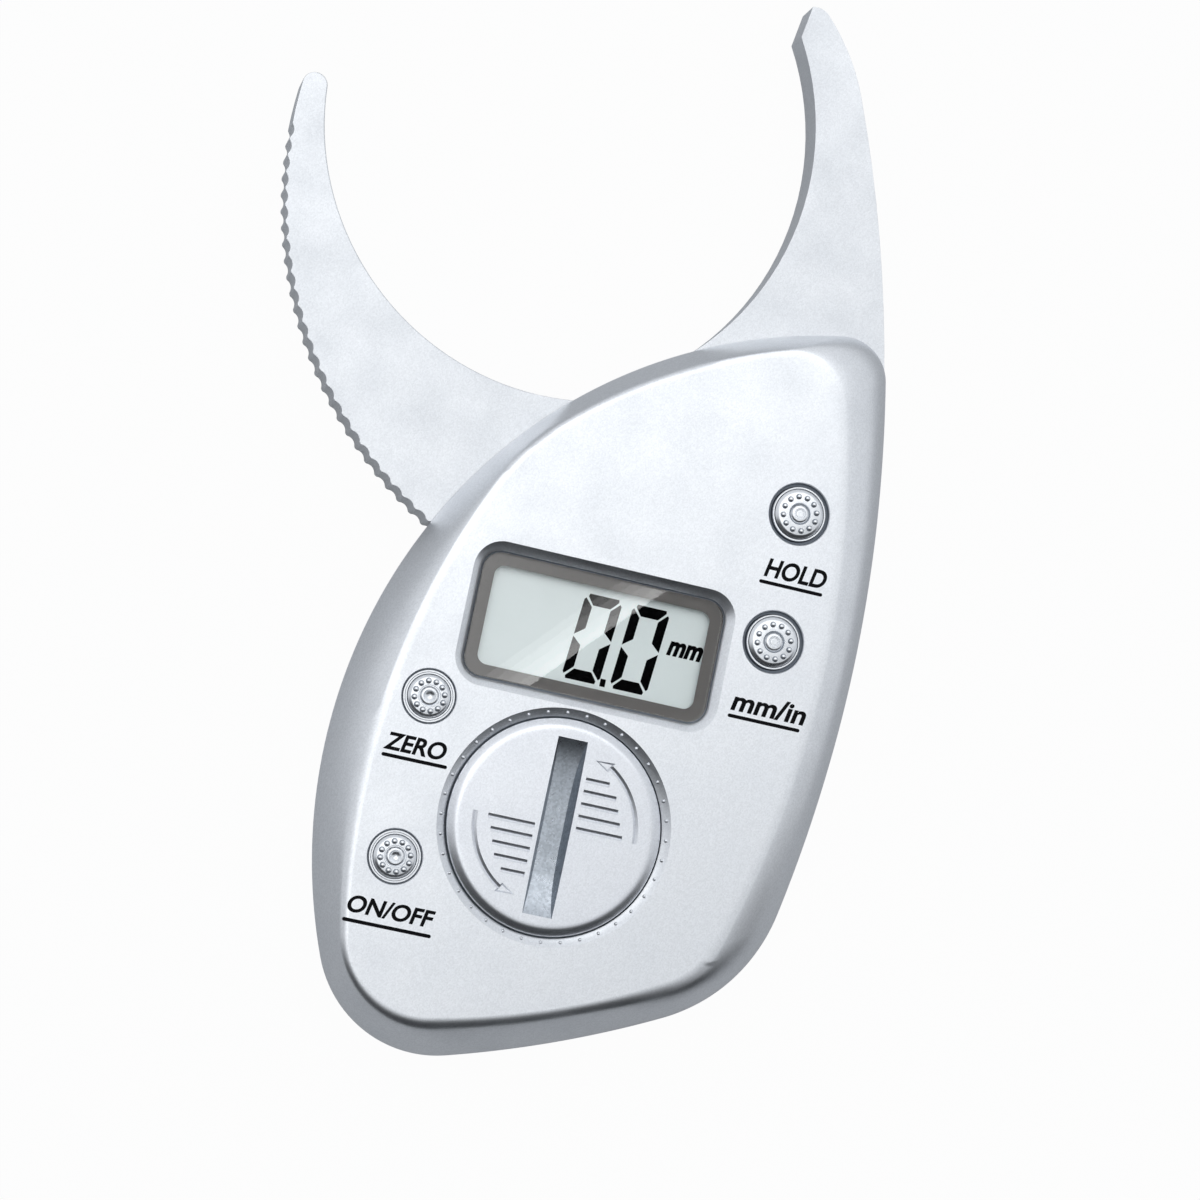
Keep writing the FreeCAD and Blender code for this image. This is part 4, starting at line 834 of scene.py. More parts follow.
OPEN_GROOVE = KeyGroove(0.13, 0.13, 0.55, 0.9)
LIPPED_GROOVE = KeyGroove(0.03, 0.27, 0.47, 0.6, 0.15)
HOLLOW = {"middle": ((0.98, 0.18), (0.86, 0.02), (0.62, -0.2), (0.32, -0.34), (0, -0.38)),
          "shade_ring": (0.0, 0.0)}
KEY_CAPS = (
    KeyCap(Key.HOLD, (25.3, 0.2), 4.25, OPEN_GROOVE), KeyCap(Key.UNITS, (25.25, -20.15), 4.25, OPEN_GROOVE),
    KeyCap(Key.ZERO, (-25.4, -39.85), 3.65, LIPPED_GROOVE, **HOLLOW),
    KeyCap(Key.POWER, (-25.4, -64.4), 3.65, LIPPED_GROOVE, **HOLLOW))


# Housing

def towards(heading: float) -> Vector:
    """The direction of a heading in radians."""
    return Vector((math.cos(heading), math.sin(heading)))


@dataclass(frozen=True)
class Arc:
    """An arc that is run clockwise from its first heading to its last, in radians."""

    centre: Vector
    radius: float
    first: float
    last: float

    def facing(self, share: float) -> Vector:
        """The outward direction at a share of the way, which is less than a turn."""
        last = self.first - (self.first - self.last) % math.tau
        return towards(self.first + (last - self.first) * share)


@dataclass(frozen=True)
class Leaf:
    """An outline of four long sides and four corners, run clockwise from its left side.

    A side is a point on it, its radius and the direction in which it faces at that point. A corner
    without a radius is a stretch of one long side, between two headings.
    """

    sides: tuple[tuple[float, float, float, float], ...]
    corners: tuple[float | None, ...]
    stretch: Point = (0.0, 0.0)

    def arcs(self) -> list[Arc]:
        """The eight arcs, each side followed by its corner."""
        facings = [towards(math.radians(side[3])) for side in self.sides]
        middles = [Vector((x, y)) - curve * facing for (x, y, curve, _), facing in zip(self.sides, facings)]
        joins = []
        for i, radius in enumerate(self.corners):
            after = (i + 1) % 4
            if radius is None:
                joins.append((middles[i], self.sides[i][2], *(math.radians(turn) for turn in self.stretch)))
                continue
            reach, reach_after = self.sides[i][2] - radius, self.sides[after][2] - radius
            across = middles[after] - middles[i]
            along = (reach ** 2 - reach_after ** 2 + across.length ** 2) / (2 * across.length)
            rise = math.sqrt(reach ** 2 - along ** 2)
            across.normalize()
            upright = Vector((-across.y, across.x))
            choices = [middles[i] + across * along + upright * step for step in (rise, -rise)]
            centre = max(choices, key=lambda place: (place - middles[i]).dot(facings[i] + facings[after]))
            ends = [math.atan2(*reversed(centre - middles[side])) for side in (i, after)]
            joins.append((centre, radius, *ends))
        arcs = []
        for i, join in enumerate(joins):
            arcs += [Arc(middles[i], self.sides[i][2], joins[i - 1][3], join[2]), Arc(*join)]
        return arcs

    def run(self) -> list[tuple[Vector, Vector]]:
        """Points on the outline with their outward directions."""
        points = []
        for i, arc in enumerate(self.arcs()):
            steps = CORNER_STEPS if i % 2 else SIDE_STEPS
            for step in range(steps):
                facing = arc.facing(step / steps)
                points.append((arc.centre + facing * arc.radius, facing))
        return points

    def outline(self, drawn_in: float) -> list[Point]:
        """The outline drawn in by a distance, clockwise."""
        return [tuple(point - facing * drawn_in) for point, facing in self.run()]


BASE = Leaf(
    ((-27.4, -8.9, 82.2, 150.0), (-27.4, -8.9, 82.2, 150.0), (40.6, -16.6, 230.0, 0.0),
     (3.9, -87.5, 175.0, -70.0)),
    (None, 7.0, 27.4, 18.4), (155.0, 134.0))
FACE = Leaf(
    ((-32.6, -55.8, 122.0, 180.0), (2.15, 17.4, 85.0, 120.0), (33.65, -20.7, 148.4, 0.0),
     (3.5, -82.6, 119.0, -70.0)),
    (32.0, 8.3, 12.7, 13.3))


@dataclass
class Housing:
    """The front shell, with its flanks, recesses, wells and inner walls, and the rear shell.

    A recess's slope is a list of distances outwards and depths under the face.
    """

    parting: float = 9.8
    front_height: float = 17.5
    cavity_low: float = 9.7
    ceiling: float = 15.7
    overlap: float = 0.9
    side_wall: float = 1.8
    flank_wall: float = 1.45
    parting_edge: float = 0.12
    face_edge: float = 1.0
    fullness: tuple[float, ...] = (1.28, 1.2, 1.15, 1.7, 1.85, 1.6, 1.15, 1.2)
    flank_points: int = 15
    reach_points: int = 13
    roll: tuple[float, ...] = (0.2, 0.4, 0.6, 0.8, 1.0)
    lens_slope: tuple[Point, ...] = (
        (0.28, 1.25), (0.48, 0.98), (0.75, 0.7), (1.05, 0.42), (1.35, 0.18), (1.6, 0.0), (2.0, -0.3))
    ledge: Point = (14.75, 15.5)
    window_cut: Point = (14.25, 15.7)
    seat: float = 16.8
    seat_level: float = 16.4
    crevice: Point = (16.4, 15.6)
    battery_slope: tuple[Point, ...] = (
        (0.0, 0.78), (0.25, 0.64), (0.55, 0.49), (0.9, 0.27), (1.3, 0.0), (1.7, -0.3))
    tub: float = 16.0
    tub_wall: float = 1.4
    tub_low: float = 13.0
    mouth: float = 14.95
    bayonet: Point = (14.2, 15.05)
    cell_hole: Place = (10.3, 12.5, 14.5)
    key_wall: float = 1.8
    case_screws: tuple[Point, ...] = ((-22.5, -80.0), (21.5, -66.0), (-25.3, -27.0), (25.5, 11.5))
    case_boss: float = 3.0
    case_pilot: Place = (1.15, 9.0, 14.3)
    board_screws: tuple[Point, ...] = ((12.0, -11.5), (2.0, -77.0))
    board_boss: Point = (2.0, 11.3)
    ring_dots: DomeRing = DomeRing(36, 17.45, 0.28, 0.3, 5.0)
    dot_drop: float = 0.42
    # How far the painted shade reaches out from the lens and the keys, and the heights between which it lies
    # at a key.
    shade_reach: float = 0.6
    shade_key: Point = (15.0, 0.3)
    rear_edge: float = 0.3

    def flank(self, index: int) -> list[Vector]:
        """Shares of the way in and up, of the flank at a point of the outline.

        The line is straight at a fullness of 1 and round at 2. The fullness is eased from the middle of
        one arc to the middle of the next.

        Args:
            index: The number of the outline's point.

        Returns:
            Points of the flank, from its foot to the face.
        """
        place = (index - SIDE_STEPS / 2) / ((SIDE_STEPS + CORNER_STEPS) / 2) % 8
        first, share = int(place), (1 - math.cos(math.pi * (place % 1))) / 2
        power = 2 / (self.fullness[first] * (1 - share) + self.fullness[(first + 1) % 8] * share)
        turns = [math.pi / 2 * i / FINE_STEPS for i in range(FINE_STEPS)]
        line = [Vector((1 - math.cos(turn) ** power, math.sin(turn) ** power)) for turn in turns]
        return resample([*line, Vector((1.0, 1.0))], self.flank_points)

    def skin(self) -> Object:
        """The outer surface: flanks that rise from the parting line and roll over into the raised face."""
        rise = self.front_height - self.parting
        columns = []
        for i, ((foot, foot_facing), (top, top_facing)) in enumerate(zip(BASE.run(), FACE.run())):
            line = [Vector((*(foot + (top - foot) * along), self.parting + rise * up))
                    for along, up in self.flank(i)]
            end = Vector((*top, self.front_height))
            flat = Vector((*(top - top_facing * self.face_edge), self.front_height))
            reach = resample([point for point in line if (point - end).length > self.face_edge],
                             self.reach_points)
            roll = [reach[-1] * (1 - t) ** 2 + end * 2 * t * (1 - t) + flat * t ** 2 for t in self.roll]
            inner = Vector((*(foot - foot_facing * self.parting_edge), self.parting))
            reach[0] = reach[0] + Vector((0, 0, self.parting_edge))
            columns.append([inner, *reach, *roll])
        return stack("front_housing", list(zip(*columns)))

    def cavity(self) -> Object:
        """The hollow between the shells."""
        return stack("cavity", [level(BASE.outline(self.side_wall), self.cavity_low),
                                level(FACE.outline(self.flank_wall), self.ceiling)])

    def inner_walls(self) -> list[Object]:
        """The lens's ledge, the battery's tub and the screws' bosses."""
        inside = self.ceiling + self.overlap
        bosses = [(place, self.case_boss, self.parting) for place in self.case_screws]
        bosses += [(place, *self.board_boss) for place in self.board_screws]
        return [plate("ledge", LEDGE.outline(), self.ledge[0], inside),
                post("tub", BATTERY, self.tub + self.tub_wall, self.tub_low, inside),
                *(post("boss", *boss, inside, COARSE_STEPS) for boss in bosses)]

    def lens_recess(self) -> Object:
        """The recess of the lens, with a gap all round it and a slope up to the raised face."""
        steps = [(self.lens_slope[0][0], self.ledge[1]),
                 *((out, self.front_height - drop) for out, drop in self.lens_slope)]
        return stack("lens_recess", [level(LENS.outline(out), height) for out, height in steps])

    def battery_well(self) -> Object:
        """The bayonet's groove, the cover's seat, the crevice round it and the slope down to it."""
        slope = [(self.seat + out, self.front_height - drop) for out, drop in self.battery_slope]
        (low, high), (inner, deep) = self.bayonet, self.crevice
        return lathe("battery_well", BATTERY, (
            (0, low), (self.tub, low), (self.tub, high), (self.mouth, high), (self.mouth, self.seat_level),
            (inner, self.seat_level), (inner, deep), (self.seat, deep), *slope, (0, slope[-1][1])),
            FINE_STEPS)

    def in_painted_shade(self, place: Vector) -> bool:
        """Find where shade is painted in dark grey: deep in the gap round the lens, the cover or a key.

        Args:
            place: The middle of a face.

        Returns:
            Whether it lies there.
        """
        top, reach = self.front_height, self.shade_reach
        if (abs(place.x - LENS.centre[0]) < LENS.length / 2 + reach
                and abs(place.y - LENS.centre[1]) < LENS.width / 2 + reach):
            return self.ledge[1] - HAIR < place.z < top - self.lens_slope[0][1] + HAIR
        if self.crevice[0] - HAIR < (place.xy - Vector(BATTERY)).length < self.seat + HAIR:
            return place.z < top - self.battery_slope[0][1] - 2 * HAIR
        low, depth = self.shade_key
        return any(cap.radius < cap.away(place) < cap.radius + reach and low < place.z < top - depth
                   for cap in KEY_CAPS)

    def front(self, paint: Material, bare: Material) -> Object:
        """Make the front shell.

        Args:
            paint: Its finish.
            bare: The dark grey painted as shade deep in its grooves.

        Returns:
            The piece.
        """
        front = self.skin()
        work_on(front, [self.cavity()], Cut.AWAY)
        work_on(front, self.inner_walls(), Cut.ADD)
        wells = [cap.well(self.ceiling - self.key_wall, self.front_height) for cap in KEY_CAPS]
        work_on(front, [self.lens_recess(), self.battery_well(), *wells], Cut.AWAY)
        holes = [post("hole", place, *self.case_pilot, PILOT_STEPS) for place in self.case_screws]
        work_on(front, [plate("window", WINDOW.outline(), *self.window_cut),
                        post("cell_hole", BATTERY, *self.cell_hole), *holes], Cut.AWAY)
        smooth(front, paint)
        # Painted shade: the deep faces of the gaps round the lens, the cover and the keys get the dark grey.
        second_finish(front, bare, self.in_painted_shade)
        return front

    def build(self, frame: dict, paint: Material, rear_paint: Material, bare: Material) -> list[Object]:
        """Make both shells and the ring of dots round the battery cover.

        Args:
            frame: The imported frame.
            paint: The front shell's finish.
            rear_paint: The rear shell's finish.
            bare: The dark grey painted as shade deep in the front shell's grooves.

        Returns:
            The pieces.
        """
        front = self.front(paint, bare)
        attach(front, "root")
        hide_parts("front_shell")
        rear = softened(frame["nodes"]["rear_shell"], "rear_housing", self.rear_edge, rear_paint)
        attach(rear, "root")
        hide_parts("rear_shell")
        dots = self.ring_dots.build("battery_ring_dots", (*BATTERY, self.front_height - self.dot_drop), paint)
        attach(dots, "root")
        return [front, rear, dots]


@dataclass
class Jaw:
    """The movable jaw, with its scalloped grip."""

    edge: float = 0.3

    def build(self, frame: dict, paint: Material) -> Object:
        """Make the jaw.

        Args:
            frame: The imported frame.
            paint: Its finish.

        Returns:
            The piece.
        """
        piece = softened(frame["nodes"]["movable_jaw"], "swinging_jaw", self.edge, paint)
        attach(piece, "jaw")
        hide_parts("movable_jaw")
        return piece


# Prints and display

@dataclass
class Lettering:
    """A word printed on the face, with a rule under it unless the rule's thickness is 0."""

    text: str
    start: Point
    height: float
    length: float
    name: str
    surface: float = 17.5
    rule: float = 0.55
    rule_drop: float = 1.0
    rule_reach: Point = (0.5, 0.3)
    slant: float = 0.2
    weight: float = 0.028

    def word(self) -> Object:
        """The word as a thin solid, fitted to its height and length."""
        curve = bpy.data.curves.new(self.name, "FONT")
        curve.body, curve.extrude, curve.offset, curve.resolution_u = self.text, RAISED, self.weight, 6
        letters = show(self.name, curve)
        mesh = bpy.data.meshes.new_from_object(letters.evaluated_get(bpy.context.evaluated_depsgraph_get()))
        bpy.data.objects.remove(letters)
        (low_x, high_x), (low_y, high_y) = (
            (min(places), max(places)) for places in zip(*(vertex.co.xy for vertex in mesh.vertices)))
        scale_x, scale_y = self.length / (high_x - low_x), self.height / (high_y - low_y)
        for vertex in mesh.vertices:
            x, y = (vertex.co.x - low_x) * scale_x, (vertex.co.y - low_y) * scale_y
            height = self.surface + (RAISED if vertex.co.z > 0 else -SUNK)
            vertex.co = Vector((self.start[0] + x + self.slant * y, self.start[1] + y, height)) * MM
        return show(self.name, cleaned(mesh, WELD))

    def build(self, ink: Material) -> Object:
        """Make the word and its rule.

        Args:
            ink: The print's finish.

        Returns:
            The piece.
        """
        parts = [self.word()]
        if self.rule:
            x0, x1 = self.start[0] - self.rule_reach[0], self.start[0] + self.length + self.rule_reach[1]
            bar = Pane(((x0 + x1) / 2, self.start[1] - self.rule_drop), x1 - x0, self.rule, self.rule * 0.49)
            parts.append(plate("rule", bar.outline(steps=4), self.surface - SUNK, self.surface + RAISED))
        piece = joined(self.name, parts)
        piece.data.materials.append(ink)
        return piece


LABELS = (
    Lettering("HOLD", (21.6, -10.5), 3.0, 9.7, "hold_label", rule_drop=0.85, rule_reach=(0.5, 0.1)),
    Lettering("mm/in", (20.6, -31.85), 3.2, 11.75, "units_label", rule_drop=0.85, rule_reach=(0.2, -0.3)),
    Lettering("ZERO", (-30.65, -49.0), 2.75, 9.3, "zero_label", rule_drop=0.8, rule_reach=(0.0, 0.85)),
    Lettering("ON/OFF", (-31.15, -73.8), 2.65, 13.05, "power_label", rule_drop=1.2, rule_reach=(0.1, 0.5)),
)


@dataclass
class Display:
    """The lens, and the figures on the display glass."""

    lens_edge: float = 0.15
    glass_top: float = 14.5
    figure: Point = (5.95, 13.5)
    level_bar: tuple[Point, ...] = ((0.65, 0.0), (0.55, 0.45), (1.6, 1.7))
    upright_bar: tuple[Point, ...] = ((0.25, 0.7), (0.0, 1.0), (0.0, 6.6), (1.48, 5.4), (1.48, 2.0))
    slant: float = 5.3
    figures: tuple[Point, ...] = ((-2.2, -25.65), (5.45, -25.65))
    point: Point = (0.78, -31.9)
    point_size: Point = (0.85, 1.2)
    unit: Lettering = field(default_factory=lambda: Lettering(
        "mm", (9.6, -25.5), 2.3, 5.4, "display_unit", 14.5, rule=0.0, weight=0.045))

    def zero(self, x: float, y: float) -> list[list[Point]]:
        """Draw a figure nought as six bars, whose ends are cut like mitres.

        Args:
            x: The figure's middle.
            y: The figure's middle.

        Returns:
            The bars' outlines.
        """
        wide, high = self.figure[0] / 2, self.figure[1] / 2
        lean = math.tan(math.radians(self.slant))
        bars = []
        for rise in (1, -1):
            half = [(wide - inward, rise * (high - down)) for inward, down in self.level_bar]
            bars.append(half + [(-across, along) for across, along in reversed(half)])
            for side in (1, -1):
                bars.append([(side * (wide - inward), rise * (high - down))
                             for inward, down in self.upright_bar])
        return [[(x + across + lean * along, y + along) for across, along in bar] for bar in bars]

    def build(self, lens_finish: Material, ink: Material) -> list[Object]:
        """Make the lens and the figures.

        Args:
            lens_finish: Clear acrylic.
            ink: The dark segments.

        Returns:
            The pieces.
        """
        low, high = (corner[2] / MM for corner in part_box("display_lens"))
        lens = smooth(plate("window_lens", LENS.outline(), low, high, self.lens_edge), lens_finish)
        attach(lens, "root")
        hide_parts("display_lens")
        bars = [bar for x, y in self.figures for bar in self.zero(x, y)]
        bars.append([(self.point[0] + dx * self.point_size[0], self.point[1] + dy * self.point_size[1])
                     for dx, dy in ((-0.5, -0.5), (0.5, -0.5), (0.5, 0.5), (-0.5, 0.5))])
        figures = smooth(joined("display_figures", [
            plate("bar", bar, self.glass_top - SUNK, self.glass_top + RAISED) for bar in bars]), ink)
        words = self.unit.build(ink)
        for piece in (figures, words):
            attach(piece, "root")
        return [lens, figures, words]


# Cover

def spoke(radius: float, degrees: float) -> Point:
    """The far end of a radius with a heading in degrees."""
    return radius * math.cos(math.radians(degrees)), radius * math.sin(math.radians(degrees))


@dataclass
class BatteryCover:
    """The round cover: a rolled rim, a coin slot, ten grip bars and two arrows.

    A bar is a height and the reach of its far end. An arrow is a radius with its first and last heading
    in degrees, and its head's corners are degrees past the last one and distances out from the radius.
    """

    radius: float = 16.5
    rim: tuple[Point, ...] = ((0.0, 0.85), (0.06, 0.74), (0.2, 0.62), (0.55, 0.39), (0.85, 0.2),
                              (1.1, 0.08), (1.35, 0.02), (1.6, 0.0), (1.95, 0.0))
    thickness: float = 1.45
    plug: Point = (14.7, 13.1)
    plug_low: float = 14.3
    roof: float = 15.45
    slot: Point = (27.2, 4.6)
    slot_depth: Point = (0.15, 1.95)
    slot_power: float = 3.4
    slot_steps: int = 16
    slot_wall: float = 0.42
    slot_belly: float = 0.12
    slot_flare: Place = (0.12, 0.4, 0.04)
    bars: tuple[Point, ...] = ((0.36, 10.45), (2.23, 9.7), (4.15, 9.05), (6.07, 8.35), (7.95, 6.9))
    bar_start: float = 3.15
    line: float = 0.8
    groove: float = 0.27
    section: tuple[Point, ...] = ((-1.6, 0.6), (-1.0, 0.0), (0.0, -1.0), (1.0, 0.0), (1.6, 0.6))
    arrow: Place = (12.45, 0.0, 59.0)
    arrow_steps: int = 14
    head: tuple[Point, ...] = ((11.0, -0.55), (-1.5, -0.85), (-1.5, 0.95))
    head_slope: tuple[Point, ...] = ((0.28, -0.27), (0.0, 0.0), (-0.12, 0.3))
    crisp: float = 24.0

    def stripe(self, points: Sequence[Point], top: float) -> Object:
        """Make a cutter that leaves a groove with sloping sides.

        Args:
            points: The line that it follows.
            top: The height of the cover's face.

        Returns:
            The cutter.
        """
        rings = []
        for i, point in enumerate(points):
            before, after = Vector(points[max(0, i - 1)]), Vector(points[min(len(points) - 1, i + 1)])
            along = (after - before).normalized()
            side = Vector((-along.y, along.x)) * self.line / 2
            rings.append([(*(Vector(point) + side * out), top + down * self.groove)
                          for out, down in self.section])
        return stack("stripe", rings)

    @staticmethod
    def turned(points: Iterable[Point], sign: int) -> list[Point]:
        """Points about the cover's middle, turned by half a turn where the sign is -1."""
        return [(BATTERY[0] + sign * x, BATTERY[1] + sign * y) for x, y in points]

    def marks(self, top: float) -> list[Object]:
        """Cutters for the bars and the arrows, in a face at this height."""
        radius, first, last = self.arrow
        lines = [[(self.bar_start, height), (reach, height)] for height, reach in self.bars]
        lines.append([spoke(radius, first + (last - first) * i / self.arrow_steps)
                      for i in range(self.arrow_steps + 1)])
        return [self.stripe(self.turned(points, sign), top) for sign in (1, -1) for points in lines]

    def arrowheads(self, top: float) -> list[Object]:
        """Cutters for the arrows' heads, which slope down from their three sides."""
        radius, _, last = self.arrow
        corners = [spoke(radius + out, last + past) for past, out in self.head]
        return [stack("arrowhead", [level(inset(self.turned(corners, sign), inward), top + rise)
                                    for inward, rise in self.head_slope]) for sign in (1, -1)]

    def coin_slot(self, top: float) -> Object:
        """Make the cutter of the coin slot: a scoop with steep sides, deepest and widest in its middle.

        Args:
            top: The height of the cover's face.

        Returns:
            The cutter.
        """
        rings, (shallow, deep), (flare, over, lip) = [], self.slot_depth, self.slot_flare
        for i in range(2 * self.slot_steps + 1):
            share = i / self.slot_steps - 1
            depth = shallow + (deep - shallow) * (1 - abs(share) ** self.slot_power)
            half = self.slot[1] / 2 + self.slot_belly * (1 - share * share)
            foot, y = half - self.slot_wall * depth, BATTERY[1] + share * self.slot[0] / 2
            side = [(-half - flare, top + over), (-half, top - lip), (-foot, top - depth)]
            ring = side + [(-x, z) for x, z in reversed(side)]
            rings.append([(BATTERY[0] + x, y, z) for x, z in ring])
        return stack("coin_slot", rings)

    def build(self, paint: Material, worn_and_shaded: Material, bare: Material) -> Object:
        """Make the cover.

        Args:
            paint: Its finish.
            worn_and_shaded: The finish of its coin slot: paint scuffed by coins, and darkened as painted
                shade of the recess.
            bare: The dark grey painted as shade on its side.

        Returns:
            The piece.
        """
        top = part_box("battery_cover")[1][2] / MM
        under, (outer, inner) = top - self.thickness, self.plug
        rolled = [(self.radius - drawn_in, top - drop) for drawn_in, drop in self.rim]
        cover = lathe("cell_cover", BATTERY, [
            (0, self.roof), (inner, self.roof), (inner, self.plug_low), (outer, self.plug_low),
            (outer, under), (self.radius, under), *rolled, (0, top)], FINE_STEPS)
        work_on(cover, [self.coin_slot(top), *self.marks(top)], Cut.AWAY)
        work_on(cover, self.arrowheads(top), Cut.AWAY)
        smooth(cover, paint, self.crisp)
        # The coin slot: scuffed paint, its darker tone painted shade of the recess.
        second_finish(cover, worn_and_shaded, lambda place: (
            abs(place.x - BATTERY[0]) < self.slot[1] / 2 + self.slot_belly
            and abs(place.y - BATTERY[1]) < self.slot[0] / 2 and self.roof + HAIR < place.z < top - HAIR))
        # Painted shade: the cover's side gets the dark grey.
        second_finish(cover, bare, lambda place: (place.xy - Vector(BATTERY)).length > self.radius - 2 * HAIR)
        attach(cover, "battery_cover")
        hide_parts("battery_cover")
        return cover


# Inside the housing

@dataclass
class Works:
    """The nodes inside the housing, which keep their solids."""

    finishes: dict[str, Finish] = field(default_factory=lambda: {
        "steel": STEEL, "spring_steel": SPRING_STEEL, "screw_steel": SCREW_STEEL, "cell_steel": CELL_STEEL,
        "board_laminate": BOARD, "connector_rubber": CONNECTOR, "black_resin": RESIN, "white_acetal": ACETAL,
        "display_frame": FRAME_PLASTIC, "display_glass": DISPLAY_GLASS, "grey_print": FRAME_PRINT})

    def build(self, frame: dict) -> list[str]:
        """Dress every node that the record gives one of these finishes.

        Args:
            frame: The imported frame.

        Returns:
            The names of the dressed nodes.
        """
        made = {slot: finish.build() for slot, finish in self.finishes.items()}
        dressed = []
        for name, node in frame["nodes"].items():
            for slot in node.material_slots:
                key = slot.material.name.split(".")[0] if slot.material else ""
                if key in made:
                    slot.material = made[key]
                    dressed.append(name)
        return dressed


# Studio

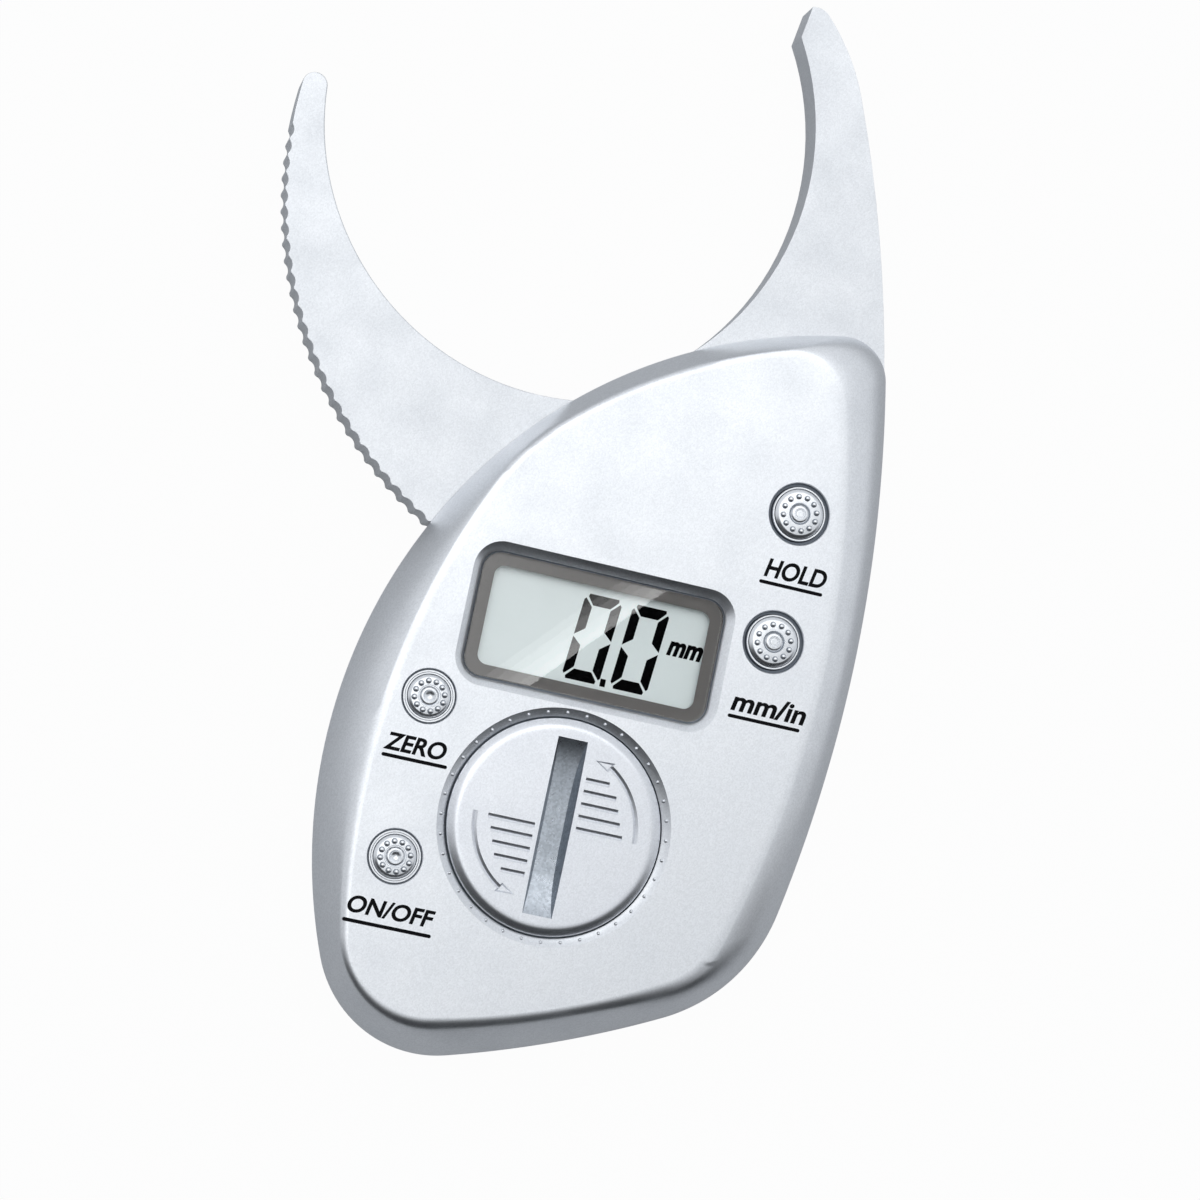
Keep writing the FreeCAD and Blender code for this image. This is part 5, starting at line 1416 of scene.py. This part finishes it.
@dataclass
class Studio:
    """The camera, a large soft lamp over the upper left, a pale room and a pale floor.

    The strips are narrow lamps on the large lamp's lower right edge: they grade its mirror image in the
    lens. The flag is the direction in which the room is dark for the display's figures.
    """

    eye: Place = (-94.6, -76.3, 485.5)
    aim: Place = (-1.2, -18.9, 9.5)
    up: Place = (-0.206, 0.978, 0.0)
    field_of_view: float = 21.56
    lamp_size: float = 1200.0
    lamp_height: float = 1000.0
    lamp_edge: tuple[Point, Point] = ((223.7, 113.5), (164.9, 51.2))
    lamp_power: float = 4.2
    strips: tuple[float, ...] = (4.0, 8.0, 12.0, 16.0)
    strip_power: float = 0.0028
    zenith: str = "#DADDE0"
    zenith_reach: Point = (0.8, 0.96)
    flag: Place = (0.2121, 0.0998, 0.9722)
    flag_edge: Point = (4.0, 2.2)
    wall: str = "#E9ECF0"
    dark_wall: str = "#0A0F15"
    dark_side: Place = (0.1, -0.995, 0.0)
    dark_reach: Point = (0.05, 0.4)
    floor_colour: str = "#AEB1B5"
    floor_reach: float = 3000.0
    floor_glow: float = 0.97
    floor_gleam: float = 0.15

    def camera(self) -> None:
        """Set the camera."""
        data = bpy.data.cameras.new("camera")
        data.sensor_fit = "HORIZONTAL"
        data.angle = math.radians(self.field_of_view)
        data.clip_start, data.clip_end = 0.01, 10.0
        camera = show("camera", data)
        eye, aim = Vector(self.eye) * MM, Vector(self.aim) * MM
        back = (eye - aim).normalized()
        right = Vector(self.up).cross(back).normalized()
        turn = Matrix((right, back.cross(right), back)).transposed()
        camera.matrix_world = Matrix.Translation(eye) @ turn.to_4x4()
        bpy.context.scene.camera = camera

    def lamp(self, name: str, breadth: float, power: float, height: float) -> None:
        """Hang a lamp with its lower right edge on the line whose mirror image crosses the lens.

        Args:
            name: The lamp's name.
            breadth: Its size across that line.
            power: Its power in watts.
            height: Its height over the floor.
        """
        data = bpy.data.lights.new(name, "AREA")
        data.shape = "RECTANGLE"
        data.size, data.size_y = self.lamp_size * MM, breadth * MM
        data.energy = power
        lamp = show(name, data)
        first, last = (Vector(point) for point in self.lamp_edge)
        along = (first - last).normalized()
        centre = (first + last) / 2 + Vector((-along.y, along.x)) * breadth / 2
        lamp.location = Vector((*centre, height)) * MM
        lamp.rotation_euler = Euler((0.0, 0.0, math.atan2(along.y, along.x)))

    def room(self) -> None:
        """Light the room from above and from three sides, with the fourth side dark.

        A small black flag stands where the display's figures would mirror the ceiling. The camera sees
        the room white.
        """
        world = bpy.data.worlds.new("room")
        bpy.context.scene.world = world
        tree = emptied(world)
        direction = add_node(tree, "ShaderNodeTexCoord").outputs["Generated"]
        height = add_node(tree, "ShaderNodeSeparateXYZ", {0: direction}).outputs["Z"]
        dark = mapped(tree, product(tree, direction, self.dark_side), *self.dark_reach, eased=True)
        sides = blend(tree, dark, linear(self.wall), linear(self.dark_wall))
        overhead = mapped(tree, height, *self.zenith_reach, eased=True)
        near = product(tree, direction, Vector(self.flag).normalized())
        flag = mapped(tree, near, *(math.cos(math.radians(edge)) for edge in self.flag_edge), 1.0, 0.0)
        glow = add_node(tree, "ShaderNodeBackground", {
            "Color": blend(tree, overhead, sides, linear(self.zenith)), "Strength": flag})
        white = add_node(tree, "ShaderNodeBackground", {"Color": WHITE, "Strength": 1.0})
        seen = add_node(tree, "ShaderNodeLightPath").outputs["Is Camera Ray"]
        mixed = add_node(tree, "ShaderNodeMixShader", {0: seen, 1: glow.outputs[0], 2: white.outputs[0]})
        add_node(tree, "ShaderNodeOutputWorld", {"Surface": mixed.outputs[0]})

    def floor(self) -> None:
        """Lay the floor, which looks white and keeps a share of the shadow."""
        reach = self.floor_reach
        corners = [(-reach, -reach, 0), (reach, -reach, 0), (reach, reach, 0), (-reach, reach, 0)]
        piece = solid("floor", corners, [range(4)])
        material = bpy.data.materials.new("pale_sweep")
        tree = emptied(material)
        rays = add_node(tree, "ShaderNodeLightPath").outputs
        seen = maths(tree, "MAXIMUM", rays["Is Camera Ray"], rays["Is Transmission Ray"])
        share = maths(tree, "MAXIMUM", maths(tree, "MULTIPLY", seen, self.floor_glow),
                      maths(tree, "MULTIPLY", rays["Is Glossy Ray"], self.floor_gleam))
        matt = add_node(tree, "ShaderNodeBsdfDiffuse", {"Color": linear(self.floor_colour)})
        glow = add_node(tree, "ShaderNodeEmission", {"Color": WHITE, "Strength": 1.0})
        mixed = add_node(tree, "ShaderNodeMixShader", {0: share, 1: matt.outputs[0], 2: glow.outputs[0]})
        add_node(tree, "ShaderNodeOutputMaterial", {"Surface": mixed.outputs[0]})
        piece.data.materials.append(material)

    def build(self) -> None:
        """Set up the camera, the lights and the floor."""
        bpy.context.scene.view_settings.view_transform = "Standard"
        self.camera()
        self.lamp("soft_box", self.lamp_size, self.lamp_power, self.lamp_height)
        for breadth in self.strips:
            self.lamp("strip", breadth, self.strip_power * breadth, self.lamp_height - breadth / 4)
        self.room()
        self.floor()


# Whole


def main() -> None:
    """Dress the frame, piece by piece."""
    logging.basicConfig(level=logging.INFO, format="%(name)s: %(message)s")
    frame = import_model()
    Studio().build()
    shell, jaw_paint, cover_paint = SHELL_PAINT.build(), JAW_PAINT.build(), COVER_PAINT.build()
    # The last of these is the dark grey painted as shade into gaps, grooves and sides.
    key_paint, ink, bare = KEY_PAINT.build(), LABEL_INK.build(), PAINTED_SHADE_PLASTIC.build()
    pieces = Housing().build(frame, shell, jaw_paint, bare)
    pieces.append(Jaw().build(frame, jaw_paint))
    pieces += Display().build(LENS_ACRYLIC.build(), FIGURE_INK.build())
    for cap in KEY_CAPS:
        pieces += cap.build(key_paint, bare)
    pieces.append(BatteryCover().build(cover_paint, SLOT_WEAR_AND_SHADE_PAINT.build(), bare))
    for label in LABELS:
        piece = label.build(ink)
        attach(piece, "root")
        pieces.append(piece)
    for piece in pieces:
        LOG.info("built %s, %d faces", piece.name, len(piece.data.polygons))
    for name in Works().build(frame):
        LOG.info("dressed %s", name)


if __name__ == "__main__":
    main()
